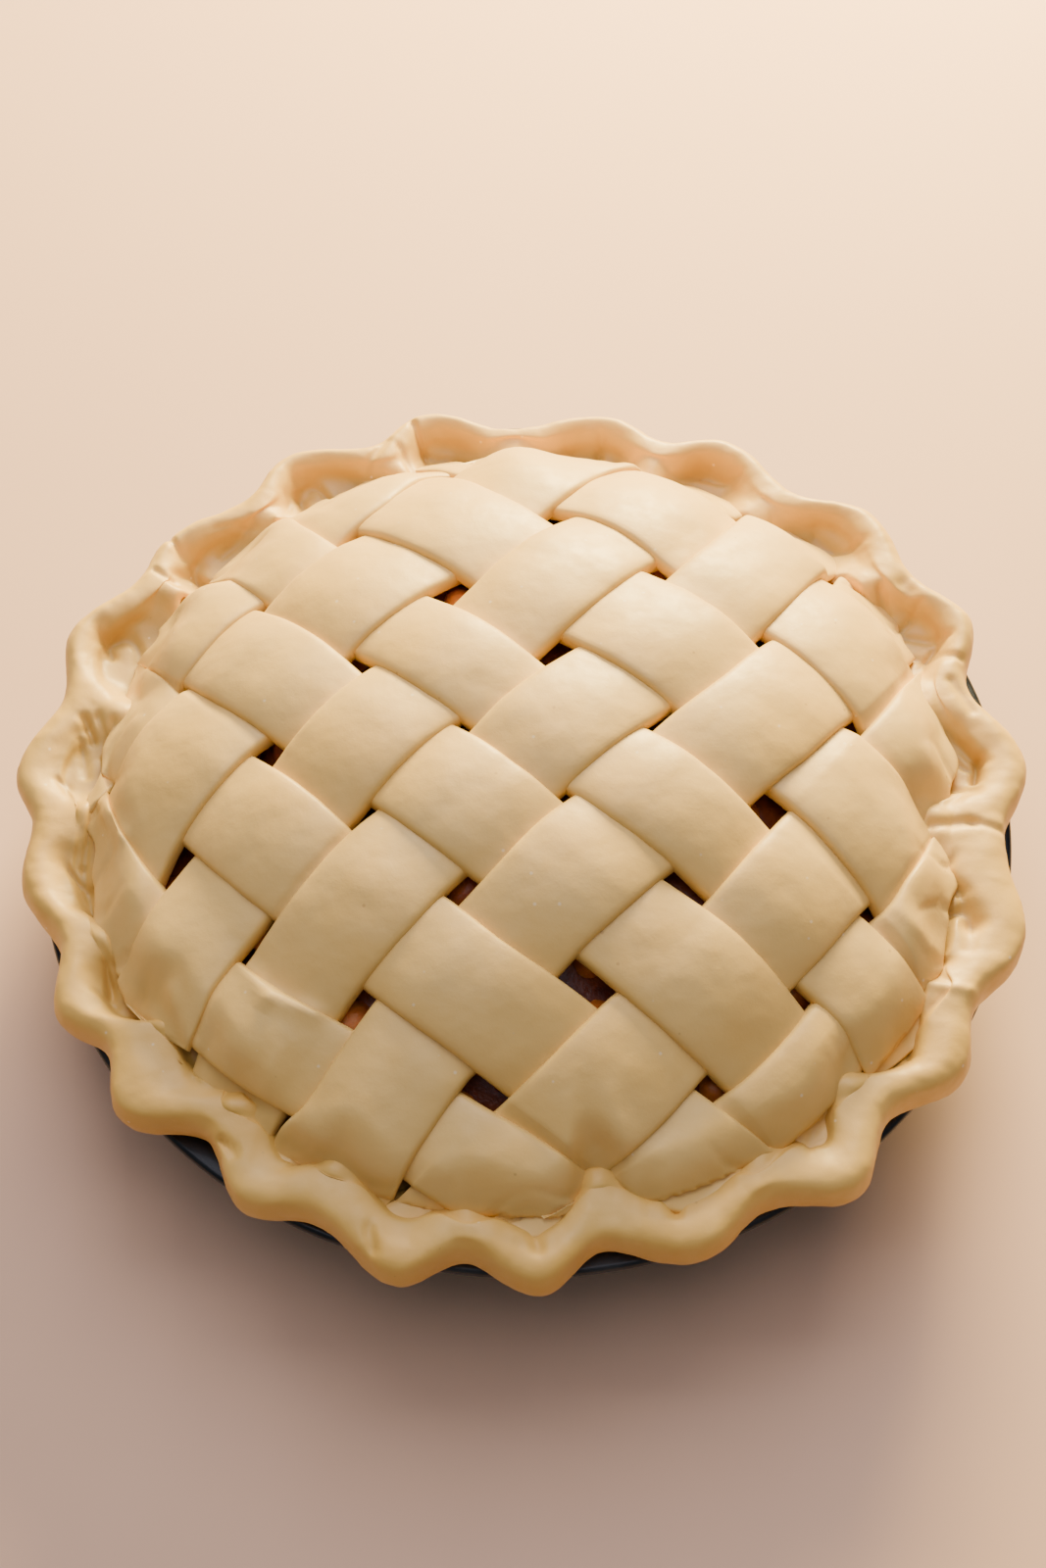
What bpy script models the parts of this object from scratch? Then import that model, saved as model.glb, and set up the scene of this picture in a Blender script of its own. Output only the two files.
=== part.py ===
# Unbaked lattice pie standing in its own dark tin.
# Metres and degrees, +Z up. The origin is the middle of the tin's base, on the
# surface it stands on. The near side of the pie is at -Y, and angles round the
# pie are counted from +X towards +Y.
import math

import bpy
import bmesh

# Tin: a pressed sheet with sloping sides, a flat flange and a rolled edge.
TIN_HEIGHT = 0.0365
TIN_SHEET = 0.0010
TIN_BASE_RADIUS = 0.0900
TIN_MOUTH_RADIUS = 0.1135
TIN_EDGE_RADIUS = 0.1213
TIN_ROLL_RADIUS = 0.0014
TIN_CORNER = 0.0050
TIN_STEPS = 70

# Clearance kept between pieces that lie on each other.
GAP = 0.0003

# Bottom crust, and the fluted rim that its edge is folded into.
CRUST_THICKNESS = 0.0035
LEDGE_RADIUS = 0.1095
LEDGE_HEIGHT = 0.0403
RIDGE_WIDTH = 0.0105
RIDGE_HEIGHT = 0.0500
RIDGE_RISE = 0.0012
OUTER_VALLEY = 0.1203
FAR_PINCH = 0.0080
FAR_TURN = 82.0
HOLLOW_FOOT = 0.1095
HOLLOW_FLOOR = 0.0012
NOSE_HEIGHT = 0.0082
NOSE_SHARPNESS = 1.5
APRON_MARGIN = 0.0003
APRON_SHARE = 0.85
CRUST_STEPS = 140

# Crimps round the rim: angle and radius of the lobe pushed out by the thumb,
# then the angle and radius of the nose pinched inwards after it.
CRIMPS = [
    (1.0, 0.1258, 9.5, 0.102), (23.0, 0.1278, 30.0, 0.102), (40.0, 0.1290, 51.5, 0.099),
    (61.5, 0.1236, 70.0, 0.101), (78.5, 0.1240, 91.5, 0.104), (103.0, 0.1225, 111.0, 0.102),
    (122.0, 0.1248, 130.5, 0.104), (142.0, 0.1240, 148.5, 0.103), (158.0, 0.1277, 168.0, 0.100),
    (178.0, 0.1276, 184.5, 0.106), (193.0, 0.1262, 202.0, 0.107), (208.0, 0.1260, 216.0, 0.105),
    (222.0, 0.1284, 231.5, 0.106), (238.0, 0.1250, 246.0, 0.108), (256.0, 0.1290, 262.5, 0.109),
    (270.0, 0.1275, 278.0, 0.103), (290.0, 0.1248, 297.0, 0.109), (305.0, 0.1292, 312.0, 0.108),
    (323.0, 0.1274, 329.0, 0.109), (339.0, 0.1262, 349.0, 0.099),
]

# Heap of fruit that carries the lattice: rise over the ledge, how full its
# shoulders are, and where its highest point lies.
HEAP_RISE = 0.0385
HEAP_FULLNESS = 2.25
HEAP_TOP = (0.002, 0.002)
FRUIT_LUMP = 0.0034
FRUIT_SINK = 0.0007
FRUIT_STEPS = 48
FRUIT_RINGS = 11

# Lattice strips. Each row is offset from the middle, width, heading in degrees,
# and how far the course bows and sways sideways at SPAN from its middle.
STRIP_THICKNESS = 0.0033
STRIP_ROUND = 0.0012
STRIP_DROOP = 0.0009
STRIP_CROWN = 0.0004
CROSSING_GAP = 0.0005
END_FADE = 0.0080
END_CLEARANCE = 0.0006
END_SPREAD = 4.0
END_WIDTH = 0.0050
ROW_STEP = 0.0003
SPAN = 0.100
RISING = [
    (-0.0861, 0.0261, 45.1, -0.0010, -0.0003),
    (-0.0559, 0.0300, 43.9, 0.0008, -0.0060),
    (-0.0217, 0.0263, 43.7, -0.0026, -0.0070),
    (0.0084, 0.0264, 41.7, -0.0038, -0.0096),
    (0.0373, 0.0272, 42.0, -0.0021, -0.0100),
    (0.0724, 0.0257, 47.4, -0.0100, 0.0012),
    (0.0981, 0.0170, 50.8, -0.0175, 0.0120),
]
FALLING = [
    (-0.0914, 0.0205, -32.2, 0.0188, -0.0190),
    (-0.0591, 0.0255, -40.3, 0.0102, -0.0015),
    (-0.0265, 0.0262, -38.6, 0.0041, -0.0035),
    (0.0009, 0.0241, -37.5, 0.0040, -0.0060),
    (0.0368, 0.0291, -37.8, -0.0028, -0.0062),
    (0.0719, 0.0305, -38.3, -0.0063, -0.0050),
]
RISING_NAMES = ["strip_rising_%d" % number for number in range(len(RISING))]
FALLING_NAMES = ["strip_falling_%d" % (number + 1) for number in range(len(FALLING))]

MATERIALS = {
    "dough_strip": ((0.78, 0.63, 0.42), 0.62, 0.0),
    "dough_crust": ((0.74, 0.56, 0.34), 0.60, 0.0),
    "fruit_filling": ((0.20, 0.06, 0.02), 0.35, 0.0),
    "dark_tin": ((0.030, 0.034, 0.040), 0.38, 0.7),
}


def clear_scene():
    for obj in list(bpy.data.objects):
        bpy.data.objects.remove(obj, do_unlink=True)


def make_material(name):
    color, roughness, metallic = MATERIALS[name]
    material = bpy.data.materials.new(name)
    material.use_nodes = True
    shader = material.node_tree.nodes["Principled BSDF"]
    shader.inputs["Base Color"].default_value = (*color, 1.0)
    shader.inputs["Roughness"].default_value = roughness
    shader.inputs["Metallic"].default_value = metallic
    return material


def finish_object(name, bm, material, sharp_degrees):
    bmesh.ops.recalc_face_normals(bm, faces=bm.faces)
    mesh = bpy.data.meshes.new(name)
    bm.to_mesh(mesh)
    bm.free()
    mesh.shade_smooth()
    mesh.set_sharp_from_angle(angle=math.radians(sharp_degrees))
    mesh.materials.append(material)
    obj = bpy.data.objects.new(name, mesh)
    bpy.context.collection.objects.link(obj)
    return obj


def mix(low, high, share):
    return low + (high - low) * share


def smooth(share):
    share = min(max(share, 0.0), 1.0)
    return share * share * (3.0 - 2.0 * share)


def heap_height(x, y):
    """Height of the surface that the lattice lies on, level outside the ledge."""
    top_x, top_y = HEAP_TOP
    away_x, away_y = x - top_x, y - top_y
    square = away_x * away_x + away_y * away_y
    if square < 1e-12:
        return LEDGE_HEIGHT + HEAP_RISE
    cross = top_x * away_x + top_y * away_y
    rest = top_x * top_x + top_y * top_y - LEDGE_RADIUS * LEDGE_RADIUS
    reach = (-cross + math.sqrt(cross * cross - square * rest)) / square
    fall = min(1.0, 1.0 / reach) ** HEAP_FULLNESS
    return LEDGE_HEIGHT + HEAP_RISE * (1.0 - fall)


def crimp_at(angle):
    """Wave from 1 on a lobe to -1 on a nose, with the radii of both there."""
    turn = math.degrees(angle) % 360.0
    for index, (start, lobe, nose_turn, nose) in enumerate(CRIMPS):
        end, next_lobe = CRIMPS[(index + 1) % len(CRIMPS)][:2]
        arc = (end - start) % 360.0
        along = (turn - start) % 360.0
        if along < arc:
            half = nose_turn - start
            if along < half:
                wave = math.cos(math.pi * along / half)
            else:
                wave = -math.cos(math.pi * (along - half) / (arc - half))
            return wave, mix(lobe, next_lobe, smooth(along / arc)), nose
    return 1.0, CRIMPS[0][1], CRIMPS[0][3]


def rim_foot(angle):
    """Radius at which the rim's inner face comes down on the lattice."""
    wave, _, nose = crimp_at(angle)
    return mix(HOLLOW_FOOT, nose, (0.5 - 0.5 * wave) ** NOSE_SHARPNESS)


def apron_radius(angle):
    """Inner edge of the rim's low apron, which bridges the noses for the strips' ends."""
    spread = math.radians(END_SPREAD)
    nearest = min(rim_foot(angle + spread * turn) for turn in (-1.0, -0.5, 0.0, 0.5, 1.0))
    return nearest - APRON_MARGIN


def crust_section(angle):
    wave, lobe, _ = crimp_at(angle)
    lift = 0.5 - 0.5 * wave
    valley = OUTER_VALLEY - FAR_PINCH * max(0.0, math.cos(angle - math.radians(FAR_TURN))) ** 3
    outer = mix(lobe, valley, lift)
    foot = rim_foot(angle)
    apron = apron_radius(angle)
    crest = RIDGE_HEIGHT + RIDGE_RISE * (lift + 0.4 * math.sin(3.0 * angle))
    under_foot = heap_height(foot * math.cos(angle), foot * math.sin(angle))
    under_apron = heap_height(apron * math.cos(angle), apron * math.sin(angle))
    flange = TIN_HEIGHT + GAP
    bottom = TIN_SHEET + GAP
    base = TIN_BASE_RADIUS - TIN_SHEET - GAP
    inner = outer - RIDGE_WIDTH
    shelf = under_foot + mix(HOLLOW_FLOOR, NOSE_HEIGHT, lift)
    shelf = min(shelf, crest - 0.0004)
    return [
        (base - TIN_CORNER, bottom),
        (base, bottom + TIN_CORNER * 0.7),
        (TIN_MOUTH_RADIUS - TIN_SHEET - GAP, TIN_HEIGHT - 2.5 * TIN_SHEET + 0.5 * GAP),
        (TIN_MOUTH_RADIUS + TIN_SHEET - GAP, flange),
        (outer - 0.0030, flange),
        (outer - 0.0006, flange + 0.0026),
        (outer, mix(flange, crest, 0.55)),
        (outer - 0.0014, crest - 0.0020),
        (outer - 0.0050, crest),
        (inner, crest - 0.0012),
        (mix(inner, foot, 0.6), mix(crest - 0.0012, shelf, 0.55)),
        (foot, shelf),
        (apron, under_apron + STRIP_THICKNESS * APRON_SHARE),
        (apron, under_apron + GAP),
        (LEDGE_RADIUS, LEDGE_HEIGHT),
        (LEDGE_RADIUS - 0.0010, LEDGE_HEIGHT - 0.0035),
        (base - CRUST_THICKNESS, bottom + CRUST_THICKNESS + TIN_CORNER * 0.4),
        (base - TIN_CORNER - CRUST_THICKNESS, bottom + CRUST_THICKNESS),
    ]


def ring_solid(section_at, steps, low, high):
    """Closed solid whose section, from bottom middle out and back, may change with angle."""
    bm = bmesh.new()
    columns = []
    for step in range(steps):
        angle = 2.0 * math.pi * step / steps
        column = []
        for radius, height in section_at(angle):
            column.append(bm.verts.new((radius * math.cos(angle), radius * math.sin(angle), height)))
        columns.append(column)
    low_pole = bm.verts.new((0.0, 0.0, low))
    high_pole = bm.verts.new((0.0, 0.0, high))
    for step in range(steps):
        here = columns[step]
        there = columns[(step + 1) % steps]
        bm.faces.new((low_pole, there[0], here[0]))
        for level in range(len(here) - 1):
            bm.faces.new((here[level], there[level], there[level + 1], here[level + 1]))
        bm.faces.new((here[-1], there[-1], high_pole))
    return bm


def make_tin(material):
    inner_edge = TIN_EDGE_RADIUS - 2.0 * TIN_ROLL_RADIUS
    roll_middle = TIN_HEIGHT - TIN_ROLL_RADIUS
    profile = [
        (0.0, 0.0),
        (TIN_BASE_RADIUS - TIN_CORNER, 0.0),
        (TIN_BASE_RADIUS - TIN_CORNER * 0.3, TIN_CORNER * 0.3),
        (TIN_BASE_RADIUS + 0.0010, TIN_CORNER),
        (TIN_MOUTH_RADIUS, TIN_HEIGHT - 2.5 * TIN_SHEET),
        (TIN_MOUTH_RADIUS + TIN_SHEET, TIN_HEIGHT - TIN_SHEET),
        (inner_edge, TIN_HEIGHT - TIN_SHEET),
    ]
    roll_points = 6
    for point in range(roll_points):
        turn = math.radians(-150.0 + 240.0 * point / (roll_points - 1))
        radius = TIN_EDGE_RADIUS - TIN_ROLL_RADIUS * (1.0 - math.cos(turn))
        profile.append((radius, roll_middle + TIN_ROLL_RADIUS * math.sin(turn)))
    profile += [
        (TIN_MOUTH_RADIUS + TIN_SHEET, TIN_HEIGHT),
        (TIN_MOUTH_RADIUS - TIN_SHEET, TIN_HEIGHT - 2.5 * TIN_SHEET),
        (TIN_BASE_RADIUS - TIN_SHEET + 0.0008, TIN_CORNER),
        (TIN_BASE_RADIUS - TIN_CORNER, TIN_SHEET),
        (0.0, TIN_SHEET),
    ]
    bm = bmesh.new()
    verts = [bm.verts.new((radius, 0.0, height)) for radius, height in profile]
    edges = [bm.edges.new(pair) for pair in zip(verts, verts[1:])]
    bmesh.ops.spin(bm, geom=verts + edges, cent=(0.0, 0.0, 0.0), axis=(0.0, 0.0, 1.0),
                   angle=2.0 * math.pi, steps=TIN_STEPS, use_merge=True)
    bmesh.ops.remove_doubles(bm, verts=bm.verts, dist=1e-6)
    return finish_object("tin", bm, material, 40.0)


def make_crust(material):
    bottom = TIN_SHEET + GAP
    bm = ring_solid(crust_section, CRUST_STEPS, bottom, bottom + CRUST_THICKNESS)
    return finish_object("crust", bm, material, 60.0)


def fruit_lump(radius, angle):
    """Share by which the fruit lies lower between its pieces, 0 on a piece to 1 in a hollow."""
    x = radius * math.cos(angle) * 290.0
    y = radius * math.sin(angle) * 290.0
    ripple = math.sin(x + 1.3 * math.sin(0.7 * y)) * math.sin(1.1 * y + 0.9 * math.sin(0.8 * x + 1.0))
    return 0.5 - 0.5 * ripple


def make_filling(material):
    bottom = TIN_SHEET + CRUST_THICKNESS + 2.0 * GAP
    side = LEDGE_RADIUS - 0.0010 - GAP * 1.5
    base = TIN_BASE_RADIUS - TIN_SHEET - CRUST_THICKNESS - 3.0 * GAP

    def section(angle):
        points = [
            (base - TIN_CORNER, bottom),
            (base, bottom + TIN_CORNER * 0.6),
            (side - 0.0006, LEDGE_HEIGHT - 0.0045),
        ]
        for ring in range(FRUIT_RINGS):
            radius = side * math.sqrt(1.0 - ring / FRUIT_RINGS)
            height = heap_height(radius * math.cos(angle), radius * math.sin(angle))
            sink = FRUIT_SINK + FRUIT_LUMP * fruit_lump(radius, angle) * min(1.0, ring / 2.0)
            points.append((radius, height - sink))
        return points

    top = heap_height(0.0, 0.0) - FRUIT_SINK - 0.5 * FRUIT_LUMP
    bm = ring_solid(section, FRUIT_STEPS, bottom, top)
    return finish_object("filling", bm, material, 60.0)


def bands(family):
    """Lower and upper offset of every strip of a family."""
    return [(row[0] - row[1] / 2.0, row[0] + row[1] / 2.0) for row in family]


def course(family, offset):
    """Heading, bow and sway at an offset: a strip's own across its width, blended between strips."""
    limits = bands(family)
    for index, (low, high) in enumerate(limits):
        if offset < low:
            if index == 0:
                return family[0][2:]
            last_high = limits[index - 1][1]
            share = (offset - last_high) / (low - last_high)
            return [mix(a, b, share) for a, b in zip(family[index - 1][2:], family[index][2:])]
        if offset <= high:
            return family[index][2:]
    return family[-1][2:]


def lattice_point(rising, falling):
    """Place in plan where a rising and a falling course of the given offsets cross."""
    rise_turn, rise_bow, rise_sway = course(RISING, rising)
    fall_turn, fall_bow, fall_sway = course(FALLING, falling)
    rise_turn, fall_turn = math.radians(rise_turn), math.radians(fall_turn)
    rise_x, rise_y = math.cos(rise_turn), math.sin(rise_turn)
    fall_x, fall_y = math.cos(fall_turn), math.sin(fall_turn)
    scale = fall_x * rise_x + fall_y * rise_y
    spread = rise_x * fall_y - rise_y * fall_x
    x = y = 0.0
    for _ in range(14):
        along_rise = (x * rise_x + y * rise_y) / SPAN
        along_fall = (x * fall_x + y * fall_y) / SPAN
        side_rise = rising + rise_bow * along_rise ** 2 + rise_sway * along_rise ** 3
        side_fall = falling + fall_bow * along_fall ** 2 + fall_sway * along_fall ** 3
        # place = u * rise + v * side, with the second course's offset met
        along = (side_fall + side_rise * scale) / -spread
        x = side_rise * rise_y + along * rise_x
        y = -side_rise * rise_x + along * rise_y
    return x, y


def over_share(offset, limits, states):
    """How far a strip is lifted at an offset along it: 1 over a crossing strip, 0 under one."""
    if offset <= limits[0][0]:
        return states[0] * (1.0 - smooth((limits[0][0] - offset) / END_FADE))
    if offset >= limits[-1][1]:
        return states[-1] * (1.0 - smooth((offset - limits[-1][1]) / END_FADE))
    for index, (low, high) in enumerate(limits):
        if offset <= high:
            if offset >= low:
                return states[index]
            last_high = limits[index - 1][1]
            share = (offset - last_high - GAP) / (low - last_high - 2.0 * GAP)
            return mix(states[index - 1], states[index], smooth(share))
    return 0.0


def apron_steps():
    return [apron_radius(2.0 * math.pi * step / CRUST_STEPS) for step in range(CRUST_STEPS)]


def is_outside(x, y):
    """Whether a place lies past the strips' clearance from the apron's straight facets."""
    turn = (math.atan2(y, x) / (2.0 * math.pi)) % 1.0 * CRUST_STEPS
    step = int(turn) % CRUST_STEPS
    edge = mix(APRON[step], APRON[(step + 1) % CRUST_STEPS], turn - int(turn))
    return math.hypot(x, y) > edge - END_CLEARANCE


def meet_rim(place, inside, outside):
    """Offset at which a line crosses the rim, between one inside it and one outside it."""
    for _ in range(14):
        middle = 0.5 * (inside + outside)
        if is_outside(*place(middle)):
            outside = middle
        else:
            inside = middle
    return inside


def inside_span(place, low, high):
    """The part of a line between two offsets that lies inside the rim, or None."""
    steps = 24
    values = [mix(low, high, step / steps) for step in range(steps + 1)]
    inside = []
    run = []
    for value in values:
        run = [] if is_outside(*place(value)) else run + [value]
        inside = max(inside, run, key=len)
    if not inside:
        return None
    step = (high - low) / steps
    start = low if inside[0] == values[0] else meet_rim(place, inside[0], inside[0] - step)
    end = high if inside[-1] == values[-1] else meet_rim(place, inside[-1], inside[-1] + step)
    return start, end


def chord_is_outside(here, there):
    """Whether a straight end edge between two places runs over the rim."""
    shares = (0.0, 0.2, 0.4, 0.6, 0.8, 1.0)
    return any(is_outside(mix(here[0], there[0], share), mix(here[1], there[1], share))
               for share in shares)


def end_section(place_at, section, stop, direction):
    """Carries a strip's last section on to the rim, but not past the offset stop."""
    step = direction * ROW_STEP
    row = section[0][1]
    reaches = [row + step] * len(section)
    moving = set(range(len(section)))
    while moving:
        for number in sorted(moving):
            trial = reaches[number] + step
            place = place_at(section[number][0], trial)
            blocked = (stop - trial) * direction < 0.0 or is_outside(*place)
            for other in range(max(number - 2, 0), min(number + 3, len(section))):
                there = place_at(section[other][0], reaches[other])
                blocked = blocked or chord_is_outside(place, there)
            if blocked:
                moving.discard(number)
            else:
                reaches[number] = trial
    return [(column, reach) for (column, _), reach in zip(section, reaches)]


def spread_columns(start, end, middle):
    """Five offsets across a strip: its edges, where they round over, and its middle line."""
    if not start + 2.0 * STRIP_ROUND < middle < end - 2.0 * STRIP_ROUND:
        middle = 0.5 * (start + end)
    return start, start + STRIP_ROUND, middle, end - STRIP_ROUND, end


def strip_sections(low, high, limits, place_at):
    """Places of a strip's five long lines, on rows that follow the crossing strips' edges."""
    rows = [limits[0][0] - 2.0 * END_FADE, limits[0][0] - END_FADE]
    for index, (start_edge, end_edge) in enumerate(limits):
        rows += [start_edge, 0.5 * (start_edge + end_edge), end_edge]
        if index + 1 < len(limits):
            rows.append(0.5 * (end_edge + limits[index + 1][0]))
    rows += [limits[-1][1] + END_FADE, limits[-1][1] + 2.0 * END_FADE]
    spans = []
    kept = []
    for number, row in enumerate(rows):
        span = inside_span(lambda column: place_at(column, row), low, high)
        if not span or span[1] - span[0] < END_WIDTH:
            continue
        places = [place_at(column, row) for column in spread_columns(*span, 0.5 * (low + high))]
        if not any(chord_is_outside(here, there) for here, there in zip(places, places[1:])):
            spans.append([span[0], span[1], row])
            kept.append(number)
    for here, there in zip(spans, spans[1:]):
        for side, inwards in ((0, ROW_STEP), (1, -ROW_STEP)):
            while chord_is_outside(place_at(here[side], here[2]), place_at(there[side], there[2])):
                here[side] += inwards
                there[side] += inwards
    sections = []
    for start, end, row in spans:
        sections.append([(column, row) for column in spread_columns(start, end, 0.5 * (low + high))])
    before = rows[max(kept[0] - 1, 0)]
    after = rows[min(kept[-1] + 1, len(rows) - 1)]
    return ([end_section(place_at, sections[0], before, -1.0)] + sections +
            [end_section(place_at, sections[-1], after, 1.0)])


def make_strip(name, own, crossing, states, place_at, material):
    """One strip, lying on the heap and lifted where it passes over a crossing strip."""
    limits = bands(crossing)
    low, high = own[0] - own[1] / 2.0, own[0] + own[1] / 2.0
    bm = bmesh.new()
    rings = []
    for section in strip_sections(low, high, limits, place_at):
        ring = []
        for number in (0, 1, 2, 3, 4, 4, 2, 0):
            on_top = len(ring) < 5
            x, y = place_at(*section[number])
            lift = over_share(section[number][1], limits, states)
            height = heap_height(x, y) + GAP + lift * (STRIP_THICKNESS + CROSSING_GAP)
            if on_top:
                height += STRIP_THICKNESS
                if number in (0, 4):
                    height -= STRIP_DROOP
                elif number == 2:
                    height += STRIP_CROWN * lift
            ring.append(bm.verts.new((x, y, height)))
        rings.append(ring)
    count = len(rings[0])
    for here, there in zip(rings, rings[1:]):
        for corner in range(count):
            after = (corner + 1) % count
            bm.faces.new((here[corner], here[after], there[after], there[corner]))
    bm.faces.new(rings[0])
    bm.faces.new(list(reversed(rings[-1])))
    return finish_object(name, bm, material, 40.0)


def make_lattice(material):
    """Plain weave: a rising strip lies on top where the two strips' numbers add up to odd."""
    for rise, row in enumerate(RISING):
        states = [float((rise + fall + 1) % 2) for fall in range(len(FALLING))]
        make_strip(RISING_NAMES[rise], row, FALLING, states,
                   lambda own, other: lattice_point(own, other), material)
    for fall, row in enumerate(FALLING):
        states = [1.0 - float((rise + fall + 1) % 2) for rise in range(len(RISING))]
        make_strip(FALLING_NAMES[fall], row, RISING, states,
                   lambda own, other: lattice_point(other, own), material)


APRON = apron_steps()


def build():
    clear_scene()
    materials = {name: make_material(name) for name in MATERIALS}
    make_tin(materials["dark_tin"])
    make_crust(materials["dough_crust"])
    make_filling(materials["fruit_filling"])
    make_lattice(materials["dough_strip"])


build()
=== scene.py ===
import math

import bmesh
import bpy
import numpy as np
from mathutils import Matrix, Vector


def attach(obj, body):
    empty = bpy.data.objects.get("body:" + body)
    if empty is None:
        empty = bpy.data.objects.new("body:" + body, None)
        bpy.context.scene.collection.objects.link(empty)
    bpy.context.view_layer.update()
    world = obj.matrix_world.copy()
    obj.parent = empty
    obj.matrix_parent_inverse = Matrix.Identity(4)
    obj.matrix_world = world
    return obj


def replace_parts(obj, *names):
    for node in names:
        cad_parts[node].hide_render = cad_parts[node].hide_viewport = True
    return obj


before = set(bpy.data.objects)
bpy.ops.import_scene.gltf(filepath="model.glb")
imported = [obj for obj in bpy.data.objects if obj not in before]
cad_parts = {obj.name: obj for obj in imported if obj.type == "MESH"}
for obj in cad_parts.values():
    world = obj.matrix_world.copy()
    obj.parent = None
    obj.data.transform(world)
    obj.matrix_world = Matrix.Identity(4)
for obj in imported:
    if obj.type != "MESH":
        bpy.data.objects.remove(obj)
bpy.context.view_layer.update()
print("frame loaded:", len(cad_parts), "nodes")

# everything is in metres, the near side is -Y, angles count from +X towards +Y

heap = {"ledgeRadius": 0.1095, "ledgeHeight": 0.0403, "rise": 0.0361, "fullness": 2.25,
        "topX": 0.002, "topY": 0.002, "slopeStep": 0.0005}
waves = {"count": 9, "tightness": (0.6, 1.4), "lastPhase": 6.28}
mergeDistance = 1e-7
almostZero = 1e-12


def mix(a, b, share):
    return a + (b - a) * share


def smoothStep(value):
    value = np.clip(value, 0.0, 1.0)
    return value * value * (3.0 - 2.0 * value)


def heapHeight(x, y):
    # reach is how many times further out the ledge lies, on the line from the top through the point
    awayX, awayY = x - heap["topX"], y - heap["topY"]
    square = np.maximum(awayX ** 2 + awayY ** 2, almostZero)
    cross = heap["topX"] * awayX + heap["topY"] * awayY
    rest = heap["topX"] ** 2 + heap["topY"] ** 2 - heap["ledgeRadius"] ** 2
    reach = (-cross + np.sqrt(cross ** 2 - square * rest)) / square
    fall = np.minimum(1.0, 1.0 / reach) ** heap["fullness"]
    return heap["ledgeHeight"] + heap["rise"] * (1.0 - fall)


def heapNormal(x, y, lean):
    step = heap["slopeStep"]
    slopeX = (heapHeight(x + step, y) - heapHeight(x - step, y)) / (2 * step)
    slopeY = (heapHeight(x, y + step) - heapHeight(x, y - step)) / (2 * step)
    normal = np.stack([-slopeX * lean, -slopeY * lean, np.ones_like(slopeX)], -1)
    return normal / np.linalg.norm(normal, axis=-1, keepdims=True)


def roundAt(rows, angles, column):
    # a value from a table that goes once round the pie, its first column in degrees
    turn = np.degrees(angles) % 360
    starts = np.array([row[0] for row in rows])
    index = (np.searchsorted(starts, turn, side="right") - 1) % len(rows)
    after = (index + 1) % len(rows)
    values = np.array([row[column] for row in rows])
    share = ((turn - starts[index]) % 360) / ((starts[after] - starts[index]) % 360)
    return mix(values[index], values[after], smoothStep(share))


def waveSum(points, size, seed):
    # soft lumps: a sum of waves in fixed random directions, about -1 to 1
    rng = np.random.default_rng(seed)
    total = np.zeros(points.shape[:-1])
    for _ in range(waves["count"]):
        way = rng.normal(size=points.shape[-1])
        way *= 2 * math.pi / size / np.linalg.norm(way) * rng.uniform(*waves["tightness"])
        total += np.sin(points @ way + rng.uniform(0, waves["lastPhase"]))
    return total / math.sqrt(waves["count"])


def inScene(name, data):
    obj = bpy.data.objects.new(name, data)
    bpy.context.scene.collection.objects.link(obj)
    return obj


def turnOutwards(mesh, merge=0.0):
    # closes seams and poles where a merging distance is given, and turns every face outwards
    work = bmesh.new()
    work.from_mesh(mesh)
    if merge:
        bmesh.ops.remove_doubles(work, verts=work.verts, dist=merge)
    bmesh.ops.recalc_face_normals(work, faces=work.faces)
    work.to_mesh(mesh)
    work.free()


def meshObject(name, verts, faces, smooth=True):
    mesh = bpy.data.meshes.new(name)
    mesh.from_pydata([tuple(v) for v in verts], [], faces)
    mesh.update()
    turnOutwards(mesh, mergeDistance)
    if smooth:
        mesh.shade_smooth()
    return inScene(name, mesh)


def skinAround(columns, lowPoint, highPoint):
    # a closed skin: columns of points that go once round the axis, and a point at either end
    count = len(columns[0])
    verts = [point for column in columns for point in column] + [lowPoint, highPoint]
    low, high = len(verts) - 2, len(verts) - 1
    faces = []
    for step in range(len(columns)):
        here, there = step * count, (step + 1) % len(columns) * count
        faces.append((low, there, here))
        for k in range(count - 1):
            faces.append((here + k, there + k, there + k + 1, here + k + 1))
        faces.append((here + count - 1, there + count - 1, high))
    return verts, faces


def newMaterial(name):
    material = bpy.data.materials.new(name)
    material.use_nodes = True
    tree = material.node_tree
    coords = tree.nodes.new("ShaderNodeTexCoord").outputs["Object"]
    return material, tree, tree.nodes["Principled BSDF"], coords


def setInputs(tree, node, values):
    # each input takes a fixed value or another node's output
    for key, value in values.items():
        if isinstance(value, bpy.types.NodeSocket):
            tree.links.new(value, node.inputs[key])
        else:
            node.inputs[key].default_value = value


def addNode(tree, kind, values=None, **settings):
    node = tree.nodes.new(kind)
    for key, value in settings.items():
        setattr(node, key, value)
    setInputs(tree, node, values or {})
    return node


def noiseAt(tree, coords, scale, detail, roughness=0.5):
    return addNode(tree, "ShaderNodeTexNoise", {"Vector": coords, "Scale": scale, "Detail": detail,
                                                "Roughness": roughness}).outputs["Fac"]


def ramp(tree, value, low, high):
    # 0 at low and 1 at high, with soft ends
    return addNode(tree, "ShaderNodeMapRange", {"Value": value, "From Min": low, "From Max": high},
                   interpolation_type="SMOOTHSTEP").outputs["Result"]


def between(tree, share, low, spread):
    # low where the share is 0, and higher by the spread where it is 1
    return addNode(tree, "ShaderNodeMapRange", {"Value": share, "To Min": low,
                                                "To Max": low + spread}).outputs["Result"]


def mixColor(tree, share, first, second):
    return addNode(tree, "ShaderNodeMix", {0: share, 6: first, 7: second},
                   data_type="RGBA").outputs[2]


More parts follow.
